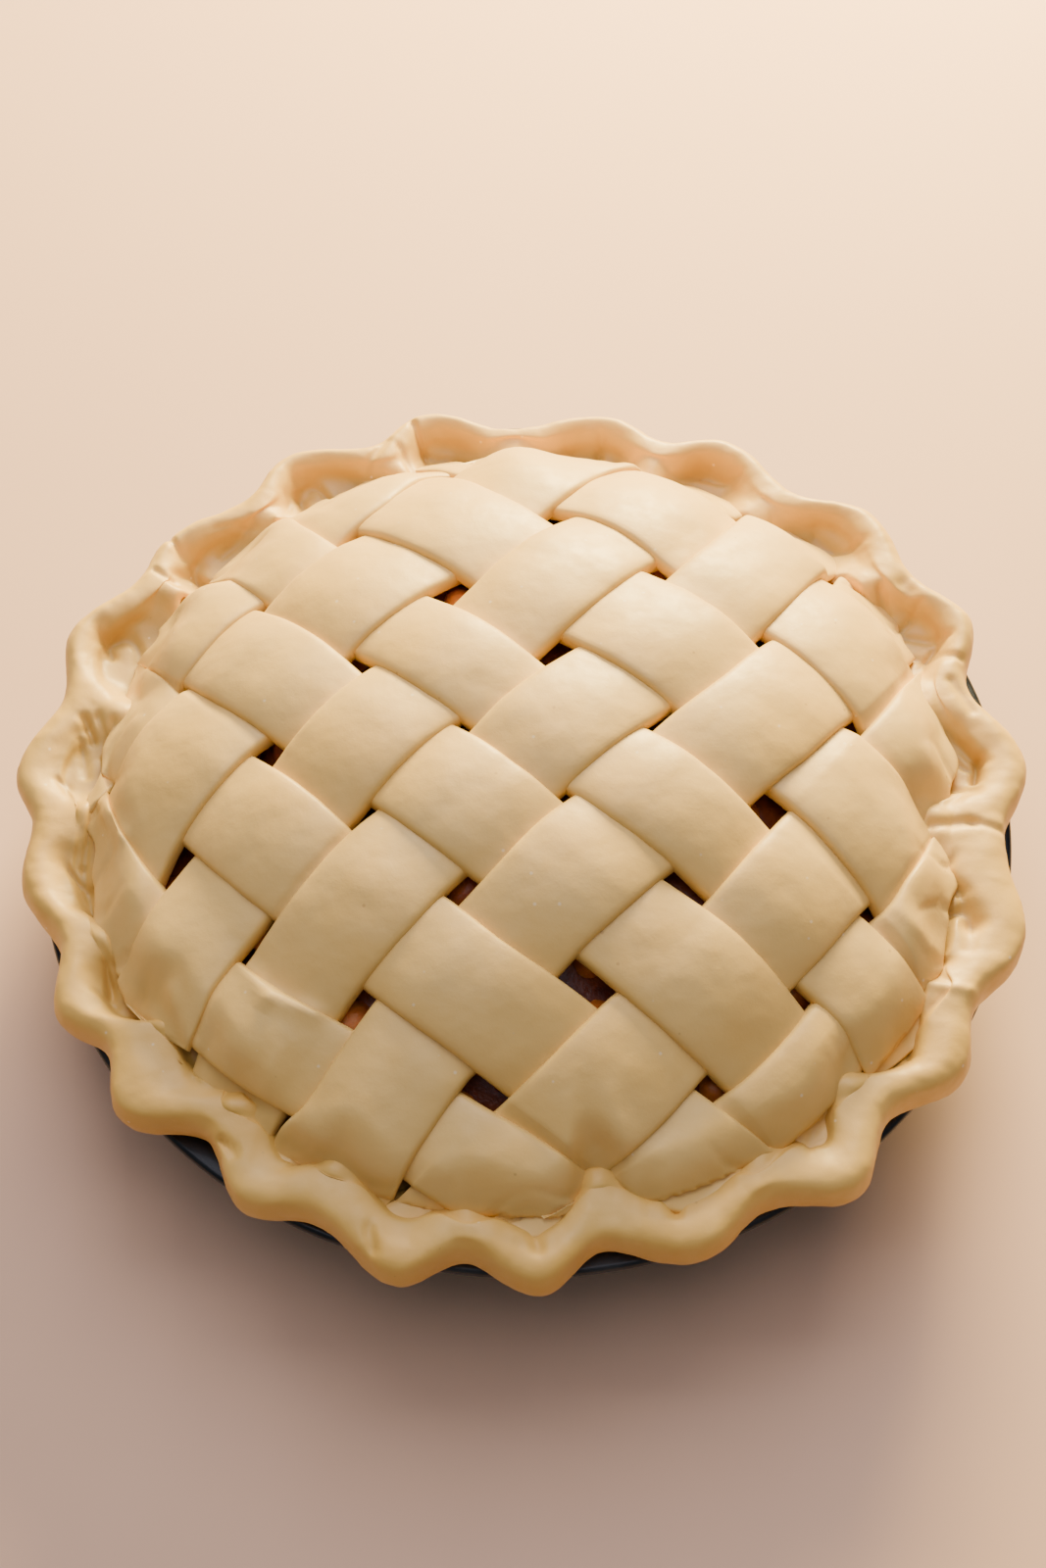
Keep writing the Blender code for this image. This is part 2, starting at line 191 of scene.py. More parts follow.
def mathNode(tree, operation, first, second):
    return addNode(tree, "ShaderNodeMath", {0: first, 1: second}, operation=operation).outputs[0]


def attributeAt(tree, name):
    return addNode(tree, "ShaderNodeAttribute", attribute_name=name).outputs["Fac"]


def bumpChain(tree, layers):
    # bumps laid over each other: height, distance and strength of each
    normal = None
    for height, distance, strength in layers:
        values = {"Height": height, "Distance": distance, "Strength": strength}
        if normal is not None:
            values["Normal"] = normal
        normal = addNode(tree, "ShaderNodeBump", values).outputs["Normal"]
    return normal


# noises hold scale, detail and roughness, edges hold where a ramp starts and ends, specks and flecks
# the limit above which a spot is coloured and how strongly, bumps their distance and strength
doughLook = {
    "pale": (0.820, 0.530, 0.166, 1), "warm": (0.780, 0.472, 0.116, 1), "patchShare": 0.65,
    "rimPale": (0.815, 0.500, 0.124, 1), "rimWarm": (0.745, 0.425, 0.082, 1), "rimPatchShare": 0.80,
    "cut": (0.780, 0.510, 0.145, 1), "cutShare": 0.75,
    # painted shade: the darker hollow colour stands for the shade that falls in the rim's hollows
    "hollow": (0.560, 0.345, 0.078, 1), "hollowShadeShare": 0.80,
    "patchNoise": (38.0, 4.0), "patchEdge": (0.35, 0.68),
    "mottleNoise": (210.0, 5.0, 0.6), "mottleEdge": (0.30, 0.75), "mottleShare": 0.30,
    "grainNoise": (1500.0, 3.0, 0.6), "dentNoise": (95.0, 2.0, 0.4),
    "spotScale": 300.0, "spotEdge": (0.16, 0.07),
    "speck": (0.36, 0.17, 0.05, 1), "specks": (0.955, 0.40),
    "fleck": (0.90, 0.74, 0.50, 1), "flecks": (0.90, 0.50),
    "dentBump": (0.0012, 0.45), "mottleBump": (0.0002, 0.20), "grainBump": (0.0001, 0.18),
    "roughness": 0.42, "roughnessSpread": 0.14, "specular": 0.50,
    "scatter": 0.035, "rimScatter": 0.03, "scatterDepth": 0.0018, "scatterRadius": (1.0, 0.80, 0.50),
}


def doughMaterial(name, pale, warm, patchShare, scatter):
    look = doughLook
    material, tree, shader, coords = newMaterial(name)
    patches = ramp(tree, noiseAt(tree, coords, *look["patchNoise"]), *look["patchEdge"])
    mottle = ramp(tree, noiseAt(tree, coords, *look["mottleNoise"]), *look["mottleEdge"])
    grain = noiseAt(tree, coords, *look["grainNoise"])
    dents = noiseAt(tree, coords, *look["dentNoise"])
    spots = addNode(tree, "ShaderNodeTexVoronoi", {"Vector": coords, "Scale": look["spotScale"]})
    chance = addNode(tree, "ShaderNodeSeparateColor", {0: spots.outputs["Color"]})
    small = ramp(tree, spots.outputs["Distance"], *look["spotEdge"])

    def spotShare(channel, limit, share):
        some = mathNode(tree, "GREATER_THAN", chance.outputs[channel], limit)
        return mathNode(tree, "MULTIPLY", mathNode(tree, "MULTIPLY", small, some), share)

    layers = [
        (mathNode(tree, "MULTIPLY", patches, patchShare), warm),
        (mathNode(tree, "MULTIPLY", mottle, look["mottleShare"]), warm),
        (mathNode(tree, "MULTIPLY", attributeAt(tree, "cutSide"), look["cutShare"]), look["cut"]),
        # painted shade in the rim's hollows, as strong as the hollow attribute says
        (mathNode(tree, "MULTIPLY", attributeAt(tree, "hollow"), look["hollowShadeShare"]), look["hollow"]),
        (spotShare(0, *look["specks"]), look["speck"]),
        (spotShare(1, *look["flecks"]), look["fleck"]),
    ]
    color = pale
    for share, tint in layers:
        color = mixColor(tree, share, color, tint)
    bumps = [(dents, *look["dentBump"]), (mottle, *look["mottleBump"]), (grain, *look["grainBump"])]
    setInputs(tree, shader, {
        "Base Color": color, "Normal": bumpChain(tree, bumps),
        "Roughness": between(tree, mottle, look["roughness"], look["roughnessSpread"]),
        "Specular IOR Level": look["specular"], "Subsurface Weight": scatter,
        "Subsurface Radius": look["scatterRadius"], "Subsurface Scale": look["scatterDepth"],
    })
    return material


stripDough = doughMaterial("rolledDough", doughLook["pale"], doughLook["warm"],
                           doughLook["patchShare"], doughLook["scatter"])
rimDough = doughMaterial("rimDough", doughLook["rimPale"], doughLook["rimWarm"],
                         doughLook["rimPatchShare"], doughLook["rimScatter"])

reliefInputs = {"Lump Height": 0.00035, "Lump Size": 0.016, "Ripple Height": 0.00010,
                "Ripple Size": 0.0045, "Seed": 1.0}
reliefNoise = {"lumpDetail": 2.0, "rippleDetail": 3.0, "roughness": 0.45}


def newTree(name, values, materialName):
    # a node tree with geometry in and out, an input for each value and one for the material
    tree = bpy.data.node_groups.new(name, "GeometryNodeTree")
    tree.interface.new_socket("Geometry", in_out="INPUT", socket_type="NodeSocketGeometry")
    for key, value in values.items():
        kind = "NodeSocketInt" if isinstance(value, int) else "NodeSocketFloat"
        socket = tree.interface.new_socket(key, in_out="INPUT", socket_type=kind)
        socket.default_value = value
    tree.interface.new_socket(materialName, in_out="INPUT", socket_type="NodeSocketMaterial")
    tree.interface.new_socket("Geometry", in_out="OUTPUT", socket_type="NodeSocketGeometry")
    return tree, tree.nodes.new("NodeGroupInput").outputs


def closeTree(tree, geometry, offset, material):
    # moves the surface, makes the instances real and gives them their material
    move = addNode(tree, "GeometryNodeSetPosition", {"Geometry": geometry, "Offset": offset})
    real = addNode(tree, "GeometryNodeRealizeInstances", {0: move.outputs[0]})
    paint = addNode(tree, "GeometryNodeSetMaterial",
                    {"Geometry": real.outputs[0], "Material": material})
    addNode(tree, "NodeGroupOutput", {0: paint.outputs[0]})


def swell(tree, noise, height):
    # from half the height below the surface to half of it above
    return mathNode(tree, "MULTIPLY", mathNode(tree, "SUBTRACT", noise, 0.5), height)


def alongNormal(tree, amount):
    normal = tree.nodes.new("GeometryNodeInputNormal").outputs[0]
    return addNode(tree, "ShaderNodeVectorMath", {0: normal, "Scale": amount},
                   operation="SCALE").outputs[0]


def buildReliefTree():
    # pushes a dough surface in and out along its normal, broad lumps and small ripples
    tree, inside = newTree("handPressedRelief", reliefInputs, "Dough")
    position = tree.nodes.new("GeometryNodeInputPosition").outputs[0]

    def layer(sizeName, heightName, detail):
        scale = mathNode(tree, "DIVIDE", 1.0, inside[sizeName])
        noise = addNode(tree, "ShaderNodeTexNoise",
                        {"Vector": position, "W": inside["Seed"], "Scale": scale, "Detail": detail,
                         "Roughness": reliefNoise["roughness"]}, noise_dimensions="4D")
        return swell(tree, noise.outputs["Fac"], inside[heightName])

    total = mathNode(tree, "ADD", layer("Lump Size", "Lump Height", reliefNoise["lumpDetail"]),
                     layer("Ripple Size", "Ripple Height", reliefNoise["rippleDetail"]))
    closeTree(tree, inside["Geometry"], alongNormal(tree, total), inside["Dough"])
    return tree


def runTree(source, tree, values, name, keepSource=False):
    # evaluates a tree on an object and keeps the result as a plain mesh
    modifier = source.modifiers.new("nodes", "NODES")
    modifier.node_group = tree
    for item in tree.interface.items_tree:
        if item.item_type == "SOCKET" and item.in_out == "INPUT" and item.name in values:
            modifier[item.identifier] = values[item.name]
    source.update_tag()
    depsgraph = bpy.context.evaluated_depsgraph_get()
    mesh = bpy.data.meshes.new_from_object(source.evaluated_get(depsgraph), depsgraph=depsgraph)
    mesh.name = name
    source.modifiers.remove(modifier)
    if keepSource:
        return inScene(name, mesh)
    source.data = mesh
    source.name = name
    return source


reliefTree = buildReliefTree()
print("dough finish and relief tree ready")

cameraSetup = {"place": (-0.0007, -0.2703, 0.5123), "down": 59.87, "roll": -0.69, "lens": 50.0,
               "sensor": 36.0, "nearest": 0.01}


def makeCamera():
    down, roll = math.radians(cameraSetup["down"]), math.radians(cameraSetup["roll"])
    ahead = Vector((0, math.cos(down), -math.sin(down)))
    right = Vector((1, 0, 0))
    up = right.cross(ahead)
    turnedRight = math.cos(roll) * right + math.sin(roll) * up
    turnedUp = -math.sin(roll) * right + math.cos(roll) * up
    data = bpy.data.cameras.new("photoCamera")
    data.lens = cameraSetup["lens"]
    data.sensor_width = cameraSetup["sensor"]
    data.sensor_fit = "AUTO"
    data.clip_start = cameraSetup["nearest"]
    camera = inScene("photoCamera", data)
    camera.matrix_world = Matrix.Translation(cameraSetup["place"]) @ Matrix(
        (turnedRight, turnedUp, -ahead)).transposed().to_4x4()
    bpy.context.scene.camera = camera


makeCamera()

# run and fade values are the widths of soft steps, the start and run after the fade place a painted shade
# (a darker colour in each hollow) and its creases, and shares tell how far along a stretch a control point
# lies
rim = {
    "steps": 1200, "flange": 0.0368, "crest": 0.0497, "crestRise": 0.0007, "crestSway": 0.7,
    "crestSwaySize": 0.55, "crestSeed": 4, "inset": 0.0100, "footLimit": 0.1125,
    "bottom": 0.0013, "innerFloor": 0.0049, "baseRadius": 0.0887, "wallSheet": 0.0035,
    "wallRadius": 0.1122, "wallTop": 0.0341, "insideTop": 0.0046, "floorDrop": 0.0010, "floorUnder": 0.0400,
    "hollowRun": 0.0036, "easeShares": (0.42, 0.80), "floorShares": (0.25, 0.65), "ridgeShares": (0.4, 0.8),
    "noseRise": 0.0052, "noseBelow": 0.0012, "noseAbove": 0.0008, "noseRound": 0.0045, "noseRoom": 0.0065,
    "noseUnder": 0.0012, "noseFoot": 0.0026,
    "slantStart": 0.002, "slantRun": 0.016, "upperFade": 0.004, "shadeAndCreaseStart": 0.0015, "shadeAndCreaseRun": 0.0035,
    "parts": [1, 1, 1, 1, 3, 4, 4, 4, 4, 4, 5, 5, 5, 5, 6, 6, 5, 3, 1, 1, 1, 1],
}
# control points in outlineAt's rows, from the foot outside up over the lip, inwards along the floor
# of a hollow or the ridge of a nose, and down inside the wall
rimOutline = {
    "outside": [
        ("base", -0.0050, "bottom", 0.0), ("base", 0.0, "innerFloor", 0.0),
        ("wallMiddle", 0.0, "wallMiddle", 0.0), ("wall", 0.0, "wallTop", 0.0),
        ("wall", 0.0024, "flange", 0.0), ("outer", -0.0040, "flange", 0.0),
        ("outer", -0.0010, "flange", 0.0014), ("outer", 0.0, "flange", 0.0052),
        ("outer", -0.0006, "crest", -0.0036), ("outer", -0.0022, "crest", -0.0010),
    ],
    "hollow": [
        ("lipMiddle", -0.0006, "crest", 0.0), ("lipEdge", 0.0, "crest", -0.0012),
        ("lipEdge", -0.0016, "easeHigh", 0.0), ("lipEdge", -0.0032, "easeLow", 0.0),
        ("floorStart", 0.0, "floor", 0.0004), ("floorMiddle", 0.0, "floor", 0.0),
        ("foot", -0.0012, "floor", -0.0006), ("foot", -0.0036, "underFloor", 0.0),
    ],
    "nose": [
        ("slimMiddle", -0.0006, "crest", 0.0), ("slimEdge", -0.0006, "crest", 0.0001),
        ("ridgeStart", 0.0, "ridgeStart", -0.0002), ("ridgeEnd", 0.0, "ridgeEnd", 0.0),
        ("nose", 0.0034, "noseTop", 0.0), ("nose", 0.0010, "noseTop", -0.0006),
        ("nose", 0.0, "noseTop", -0.0026), ("noseUnder", 0.0, "noseUnder", 0.0),
    ],
    "inside": [
        ("foot", -0.0044, "stand", 0.0385), ("foot", -0.0046, "stand", 0.0365),
        ("innerMiddle", 0.0, "stand", 0.0210), ("inner", 0.0, "stand", 0.0068),
        ("inner", -0.0050, "innerFloor", 0.0),
    ],
}
rimRelief = {"Lump Height": 0.0014, "Lump Size": 0.010, "Ripple Height": 0.00030,
             "Ripple Size": 0.0035, "Seed": 3.0}
# each lobe's angle and radius, then the nose after it: angle, outer radius, inner radius and
# how many degrees its ridge slants on its way in
crimps = [
    (2.0, 0.1250, 13.5, 0.1157, 0.1000, -1.0), (22.5, 0.1252, 31.0, 0.1190, 0.1030, 3.0),
    (41.5, 0.1243, 51.3, 0.1150, 0.0990, 2.0), (62.0, 0.1209, 70.2, 0.1137, 0.0985, 0.0),
    (78.5, 0.1188, 91.3, 0.1118, 0.1010, 0.0), (103.0, 0.1208, 110.6, 0.1140, 0.0975, -3.0),
    (121.5, 0.1221, 130.2, 0.1157, 0.1022, -2.0), (141.5, 0.1215, 147.5, 0.1190, 0.1050, 0.0),
    (157.8, 0.1266, 167.0, 0.1203, 0.0998, 1.5), (177.8, 0.1272, 184.3, 0.1218, 0.1045, 0.0),
    (192.0, 0.1251, 200.8, 0.1196, 0.1055, 4.0), (208.5, 0.1260, 215.2, 0.1201, 0.1030, 3.5),
    (222.0, 0.1268, 230.8, 0.1168, 0.1045, 3.0), (239.0, 0.1254, 246.0, 0.1206, 0.1060, 0.5),
    (256.2, 0.1281, 263.0, 0.1206, 0.1090, -1.0), (270.7, 0.1272, 277.7, 0.1186, 0.1012, 0.5),
    (287.5, 0.1256, 296.0, 0.1205, 0.1085, 3.5), (304.8, 0.1288, 313.3, 0.1201, 0.1060, -3.0),
    (322.0, 0.1271, 329.8, 0.1212, 0.1085, -4.0), (338.5, 0.1264, 352.2, 0.1178, 0.0968, 0.5),
]
# round the rim: angle, width of the rolled lip, height of the hollow's floor, how thin the noses are
rimStyle = [
    (0.0, 0.0100, 0.0436, 1.7), (25.0, 0.0076, 0.0420, 1.6), (60.0, 0.0068, 0.0415, 1.6),
    (95.0, 0.0066, 0.0415, 1.7), (130.0, 0.0070, 0.0424, 2.3), (162.0, 0.0080, 0.0436, 2.5),
    (184.0, 0.0110, 0.0464, 2.3), (200.0, 0.0100, 0.0448, 2.2), (212.0, 0.0095, 0.0444, 2.0),
    (222.0, 0.0165, 0.0470, 1.8), (233.0, 0.0120, 0.0442, 1.7), (270.0, 0.0112, 0.0436, 1.5),
    (315.0, 0.0110, 0.0436, 1.5), (328.0, 0.0110, 0.0440, 1.5), (340.0, 0.0150, 0.0462, 1.6),
]
# where the strips end in the hollows of the rim: angle, radius before they are pressed down,
# how hard they are pressed
stripEnds = [
    (3.0, 0.1050, 0.80), (22.0, 0.1070, 0.80), (41.0, 0.1055, 0.85), (62.0, 0.1010, 0.90),
    (78.0, 0.0985, 0.90), (92.0, 0.0965, 0.95), (103.0, 0.0990, 1.00), (121.0, 0.1000, 1.00),
    (141.0, 0.1010, 1.00), (158.0, 0.1050, 1.00), (178.0, 0.1060, 0.90), (192.0, 0.1060, 0.85),
    (208.0, 0.1090, 0.80), (222.0, 0.1060, 0.75), (239.0, 0.1130, 0.75), (256.0, 0.1145, 0.80),
    (271.0, 0.1145, 0.80), (288.0, 0.1145, 0.80), (305.0, 0.1145, 0.80), (322.0, 0.1130, 0.80),
    (338.0, 0.1060, 0.80),
]
# finger marks, creases and cracks in the rim: both ends, width, depth (a ridge is below zero)
rimMarks = [
    (-0.1118, -0.0205, -0.1085, -0.0290, 0.0042, 0.0017),
    (-0.1000, -0.0520, -0.0970, -0.0545, 0.0030, 0.0014),
    (-0.0997, -0.0503, -0.0990, -0.0520, 0.0034, 0.0016), (-0.0595, 0.0949, -0.0590, 0.0935, 0.0026, 0.0020),
    (-0.0879, 0.0709, -0.0870, 0.0700, 0.0028, 0.0020), (-0.1080, 0.0470, -0.1060, 0.0450, 0.0026, 0.0014),
    (0.0130, 0.1060, 0.0200, 0.1055, 0.0014, 0.0013), (0.0490, 0.0980, 0.0580, 0.0950, 0.0012, 0.0012),
    (0.0780, 0.0775, 0.0830, 0.0735, 0.0012, 0.0014), (0.0985, 0.0565, 0.0995, 0.0550, 0.0026, 0.0016),
    (0.1045, -0.0380, 0.1055, -0.0400, 0.0030, 0.0018), (0.0000, -0.1125, 0.0012, -0.1140, 0.0016, 0.0012),
    (0.0310, -0.1060, 0.0322, -0.1080, 0.0016, 0.0012), (-0.0964, -0.0405, -0.0950, -0.0475, 0.0008, 0.0014),
    (-0.0700, -0.0925, -0.0666, -0.0950, 0.0006, 0.0009),
    (-0.1068, 0.0193, -0.1036, 0.0106, 0.0009, 0.0011), (-0.1113, 0.0136, -0.1091, 0.0036, 0.0009, 0.0010),
    (-0.1030, 0.0178, -0.1025, 0.0063, 0.0009, 0.0010), (-0.0968, 0.0300, -0.0946, 0.0206, 0.0012, -0.0014),
    (0.0836, 0.0610, 0.0864, 0.0562, 0.0009, 0.0013), (0.1000, 0.0185, 0.1023, 0.0115, 0.0009, 0.0013),
    (0.0946, 0.0010, 0.0978, -0.0080, 0.0009, 0.0012), (0.0980, -0.0150, 0.1080, -0.0140, 0.0014, 0.0013),
    (0.1080, -0.0140, 0.1150, -0.0160, 0.0011, 0.0008),
    (0.0960, -0.0200, 0.1010, -0.0290, 0.0010, 0.0012), (0.0985, 0.0450, 0.1090, 0.0420, 0.0010, 0.0010),
    (0.1000, 0.0380, 0.1110, 0.0340, 0.0011, 0.0010), (0.1075, 0.0270, 0.1120, 0.0180, 0.0012, 0.0010),
    (-0.0285, 0.0937, -0.0330, 0.1040, 0.0010, 0.0010), (-0.0420, 0.0980, -0.0360, 0.1060, 0.0011, 0.0009),
    (-0.0720, 0.0800, -0.0800, 0.0730, 0.0012, 0.0010), (-0.0905, 0.0600, -0.0960, 0.0640, 0.0009, 0.0010),
    (0.1130, 0.0061, 0.1115, -0.0004, 0.0011, 0.0026), (0.0998, 0.0085, 0.0982, 0.0169, 0.0008, 0.0010),
    (0.0971, -0.0246, 0.1034, -0.0321, 0.0013, 0.0014), (0.1034, -0.0321, 0.1055, -0.0408, 0.0018, 0.0012),
    (0.1055, -0.0408, 0.1038, -0.0477, 0.0015, 0.0010), (0.0909, -0.0577, 0.0894, -0.0661, 0.0009, 0.0022),
    (0.0894, -0.0661, 0.0877, -0.0740, 0.0010, 0.0024), (0.0926, -0.0567, 0.1036, -0.0596, 0.0014, -0.0006),
    (0.1101, -0.0018, 0.1018, -0.0078, 0.0009, -0.0008), (0.0928, 0.0562, 0.0941, 0.0506, 0.0012, 0.0022),
    (0.0974, 0.0253, 0.0992, 0.0140, 0.0007, 0.0013), (0.0992, 0.0140, 0.1101, 0.0038, 0.0007, 0.0012),
    (0.0820, 0.0610, 0.0880, 0.0538, 0.0008, 0.0015), (-0.0603, 0.0918, -0.0578, 0.0865, 0.0014, 0.0024),
    (-0.0296, 0.1125, -0.0252, 0.1022, 0.0009, 0.0018), (-0.0868, 0.0670, -0.0845, 0.0626, 0.0014, 0.0022),
    (-0.0939, 0.0763, -0.0896, 0.0696, 0.0009, 0.0012), (-0.1087, 0.0456, -0.1062, 0.0408, 0.0012, 0.0018),
    (-0.1103, 0.0189, -0.1079, 0.0137, 0.0011, 0.0020), (-0.1045, 0.0091, -0.1025, 0.0057, 0.0010, 0.0020),
    (-0.0980, 0.0317, -0.0938, 0.0152, 0.0008, 0.0012), (-0.0761, 0.0590, -0.0608, 0.0541, 0.0008, -0.0008),
    (-0.0651, 0.0804, -0.0464, 0.0744, 0.0008, -0.0008), (-0.0377, 0.0921, -0.0206, 0.0833, 0.0009, -0.0009),
    (-0.1055, -0.0049, -0.1076, -0.0218, 0.0007, 0.0014),
    (-0.1076, -0.0218, -0.1043, -0.0346, 0.0007, 0.0014),
    (-0.1043, -0.0346, -0.0996, -0.0370, 0.0007, 0.0015),
    (-0.0996, -0.0370, -0.0970, -0.0458, 0.0008, 0.0017),
    (-0.0999, -0.0481, -0.0981, -0.0557, 0.0008, 0.0020),
    (-0.1013, -0.0552, -0.0965, -0.0582, 0.0007, 0.0012),
    (-0.0358, -0.1139, -0.0348, -0.1188, 0.0013, 0.0011), (0.0006, -0.1157, 0.0014, -0.1192, 0.0014, 0.0012),
    (0.0310, -0.1071, 0.0321, -0.1107, 0.0012, 0.0020), (-0.0697, -0.0929, -0.0664, -0.0967, 0.0009, 0.0014),
]
# the same for the strips: the curled flap and the folded edges at the left
stripMarks = [
    (-0.1021, -0.0072, -0.0935, -0.0192, 0.0018, -0.0012),
    (-0.0633, -0.0550, -0.0563, -0.0633, 0.0017, -0.0010),
    (-0.0563, -0.0633, -0.0464, -0.0674, 0.0017, -0.0012),
    (-0.0798, -0.0586, -0.0757, -0.0714, 0.0022, -0.0010),
]


def markDepth(x, y, marks):
    total = np.zeros(x.shape)
    for startX, startY, endX, endY, width, depth in marks:
        runX, runY = endX - startX, endY - startY
        share = ((x - startX) * runX + (y - startY) * runY) / (runX ** 2 + runY ** 2)
        share = np.clip(share, 0.0, 1.0)
        away = (x - startX - share * runX) ** 2 + (y - startY - share * runY) ** 2
        total += depth * np.exp(-away / width ** 2)
    return total


creaseStyle = {"size": 0.022, "width": 0.26, "rimDepth": 0.0016, "stripDepth": 0.0011, "seed": 61}


def creaseShare(x, y):
    # thin winding lines where pressed dough has wrinkled, 1 on a line
    field = waveSum(np.stack([x, y], -1), creaseStyle["size"], creaseStyle["seed"])
    return np.exp(-(field / creaseStyle["width"]) ** 2)


def crimpWave(angles):
    # wave of 1 on a lobe to -1 on a nose, with the radii of the lobe and of both ends of the nose
    turn = np.degrees(angles) % 360
    wave = np.ones_like(turn)
    lobe, valley, nose = np.zeros_like(turn), np.zeros_like(turn), np.zeros_like(turn)
    for index, (start, lobeRadius, noseTurn, valleyRadius, noseRadius, _) in enumerate(crimps):
        end, nextLobe = crimps[(index + 1) % len(crimps)][:2]
        arc = (end - start) % 360
        along = (turn - start) % 360
        here = along < arc
        half = noseTurn - start
        first = np.cos(math.pi * along / half)
        second = -np.cos(math.pi * (along - half) / (arc - half))
        wave = np.where(here, np.where(along < half, first, second), wave)
        lobe = np.where(here, mix(lobeRadius, nextLobe, smoothStep(along / arc)), lobe)
        valley = np.where(here, valleyRadius, valley)
        nose = np.where(here, noseRadius, nose)
    return wave, lobe, valley, nose


def outerEdge(angles):
    wave, lobe, valley, _ = crimpWave(angles)
    return mix(lobe, valley, 0.5 - 0.5 * wave)


def slantAt(angles):
    rows = sorted((row[2], row[5]) for row in crimps)
    return np.radians(roundAt(rows, angles, 1))


def noseWeight(angles):
    # 0 in the hollow behind a lobe, 1 on the ridge of a nose
    wave = crimpWave(angles)[0]
    return (0.5 - 0.5 * wave) ** roundAt(rimStyle, angles, 3)


# the press values tell what is left of a strip where it is pressed flat at the rim
lattice = {
    "span": 0.100, "thickness": 0.0042, "gap": 0.0002, "crown": 0.0015, "lean": 0.6,
    "rowStep": 0.0009, "overrun": 0.026, "samples": 49, "middleCount": 16, "underCount": 6,
    "rounds": 14, "transition": 0.0110, "endFade": 0.008, "tuck": 0.0032,
    "slumpShort": 0.012, "slumpLong": 0.030, "thinShort": 0.008, "thinLong": 0.017,
    "slide": 2.2, "slideFar": 0.58,
    "pressThickness": 0.30, "pressLift": 0.38, "pressSpread": 0.0012,
    "waver": 0.00040, "waverSizes": (0.045, 0.038), "endWaver": 0.0010, "endWaverSizes": (0.030, 0.026),
    "waverDrift": 0.37, "risingSeed": 10, "fallingSeed": 30, "seedStep": 50,
    "reachWaver": 0.0014, "reachWaverSize": 0.16, "reachSeed": 77,
    "narrowest": 0.0012, "fullEdgeWidth": 0.0150, "cutHeight": 0.93, "sharpAngle": 70,
}
stripRelief = {"Lump Height": 0.0010, "Lump Size": 0.022, "Ripple Height": 0.00016,
               "Ripple Size": 0.006}


def reachAt(angles):
    # the strips run on in the hollows and end under the noses
    nose = crimpWave(angles)[3]
    return mix(roundAt(stripEnds, angles, 1), nose + lattice["tuck"], noseWeight(angles))


def slumpAt(x, y):
    # how far the heap sinks to the floor of the rim where the strips end, and how hard it is pressed
    angles = np.arctan2(y, x)
    hard = roundAt(stripEnds, angles, 2)
    reach = reachAt(angles)
    length = mix(lattice["slumpShort"], lattice["slumpLong"], hard)
    share = smoothStep((np.hypot(x, y) - reach + length) / length)
    depth = heapHeight(reach * np.cos(angles), reach * np.sin(angles)) - roundAt(rimStyle, angles, 2)
    thinning = mix(lattice["thinShort"], lattice["thinLong"], hard)
    return share * depth, hard * smoothStep((np.hypot(x, y) - reach + thinning) / thinning)


def slideOut(x, y, drop):
    # what sinks also slides outwards, most at the far side
    return (x + drop * lattice["slide"] * x,
            y + drop * (lattice["slideFar"] + lattice["slide"] * y))


def footAt(angles):
    # inner end of the rim's floor, which runs on under the strip ends
    reach = reachAt(angles)
    x, y = reach * np.cos(angles), reach * np.sin(angles)
    return np.minimum(np.hypot(*slideOut(x, y, slumpAt(x, y)[0])), rim["footLimit"]) - rim["inset"]


def splineThrough(controls, parts):
    # smooth curve through control points along axis 1, each stretch cut into its own number of parts
    last = controls.shape[1] - 1
    places = [index + step / count for index, count in enumerate(parts) for step in range(count)]
    places = np.array(places + [last])
    index = np.minimum(places.astype(int), last - 1)
    share = (places - index)[None, :, None]
    before = controls[:, np.maximum(index - 1, 0)]
    start, end = controls[:, index], controls[:, index + 1]
    beyond = controls[:, np.minimum(index + 2, last)]
    return 0.5 * (2 * start + (end - before) * share
                  + (2 * before - 5 * start + 4 * end - beyond) * share ** 2
                  + (3 * start - before - 3 * end + beyond) * share ** 3)


def outlineAt(rows, radii, heights):
    # each row names what a point's radius starts from and what is added, then the same for its height
    return [(radii[place] + out, heights[level] + up) for place, out, level, up in rows]


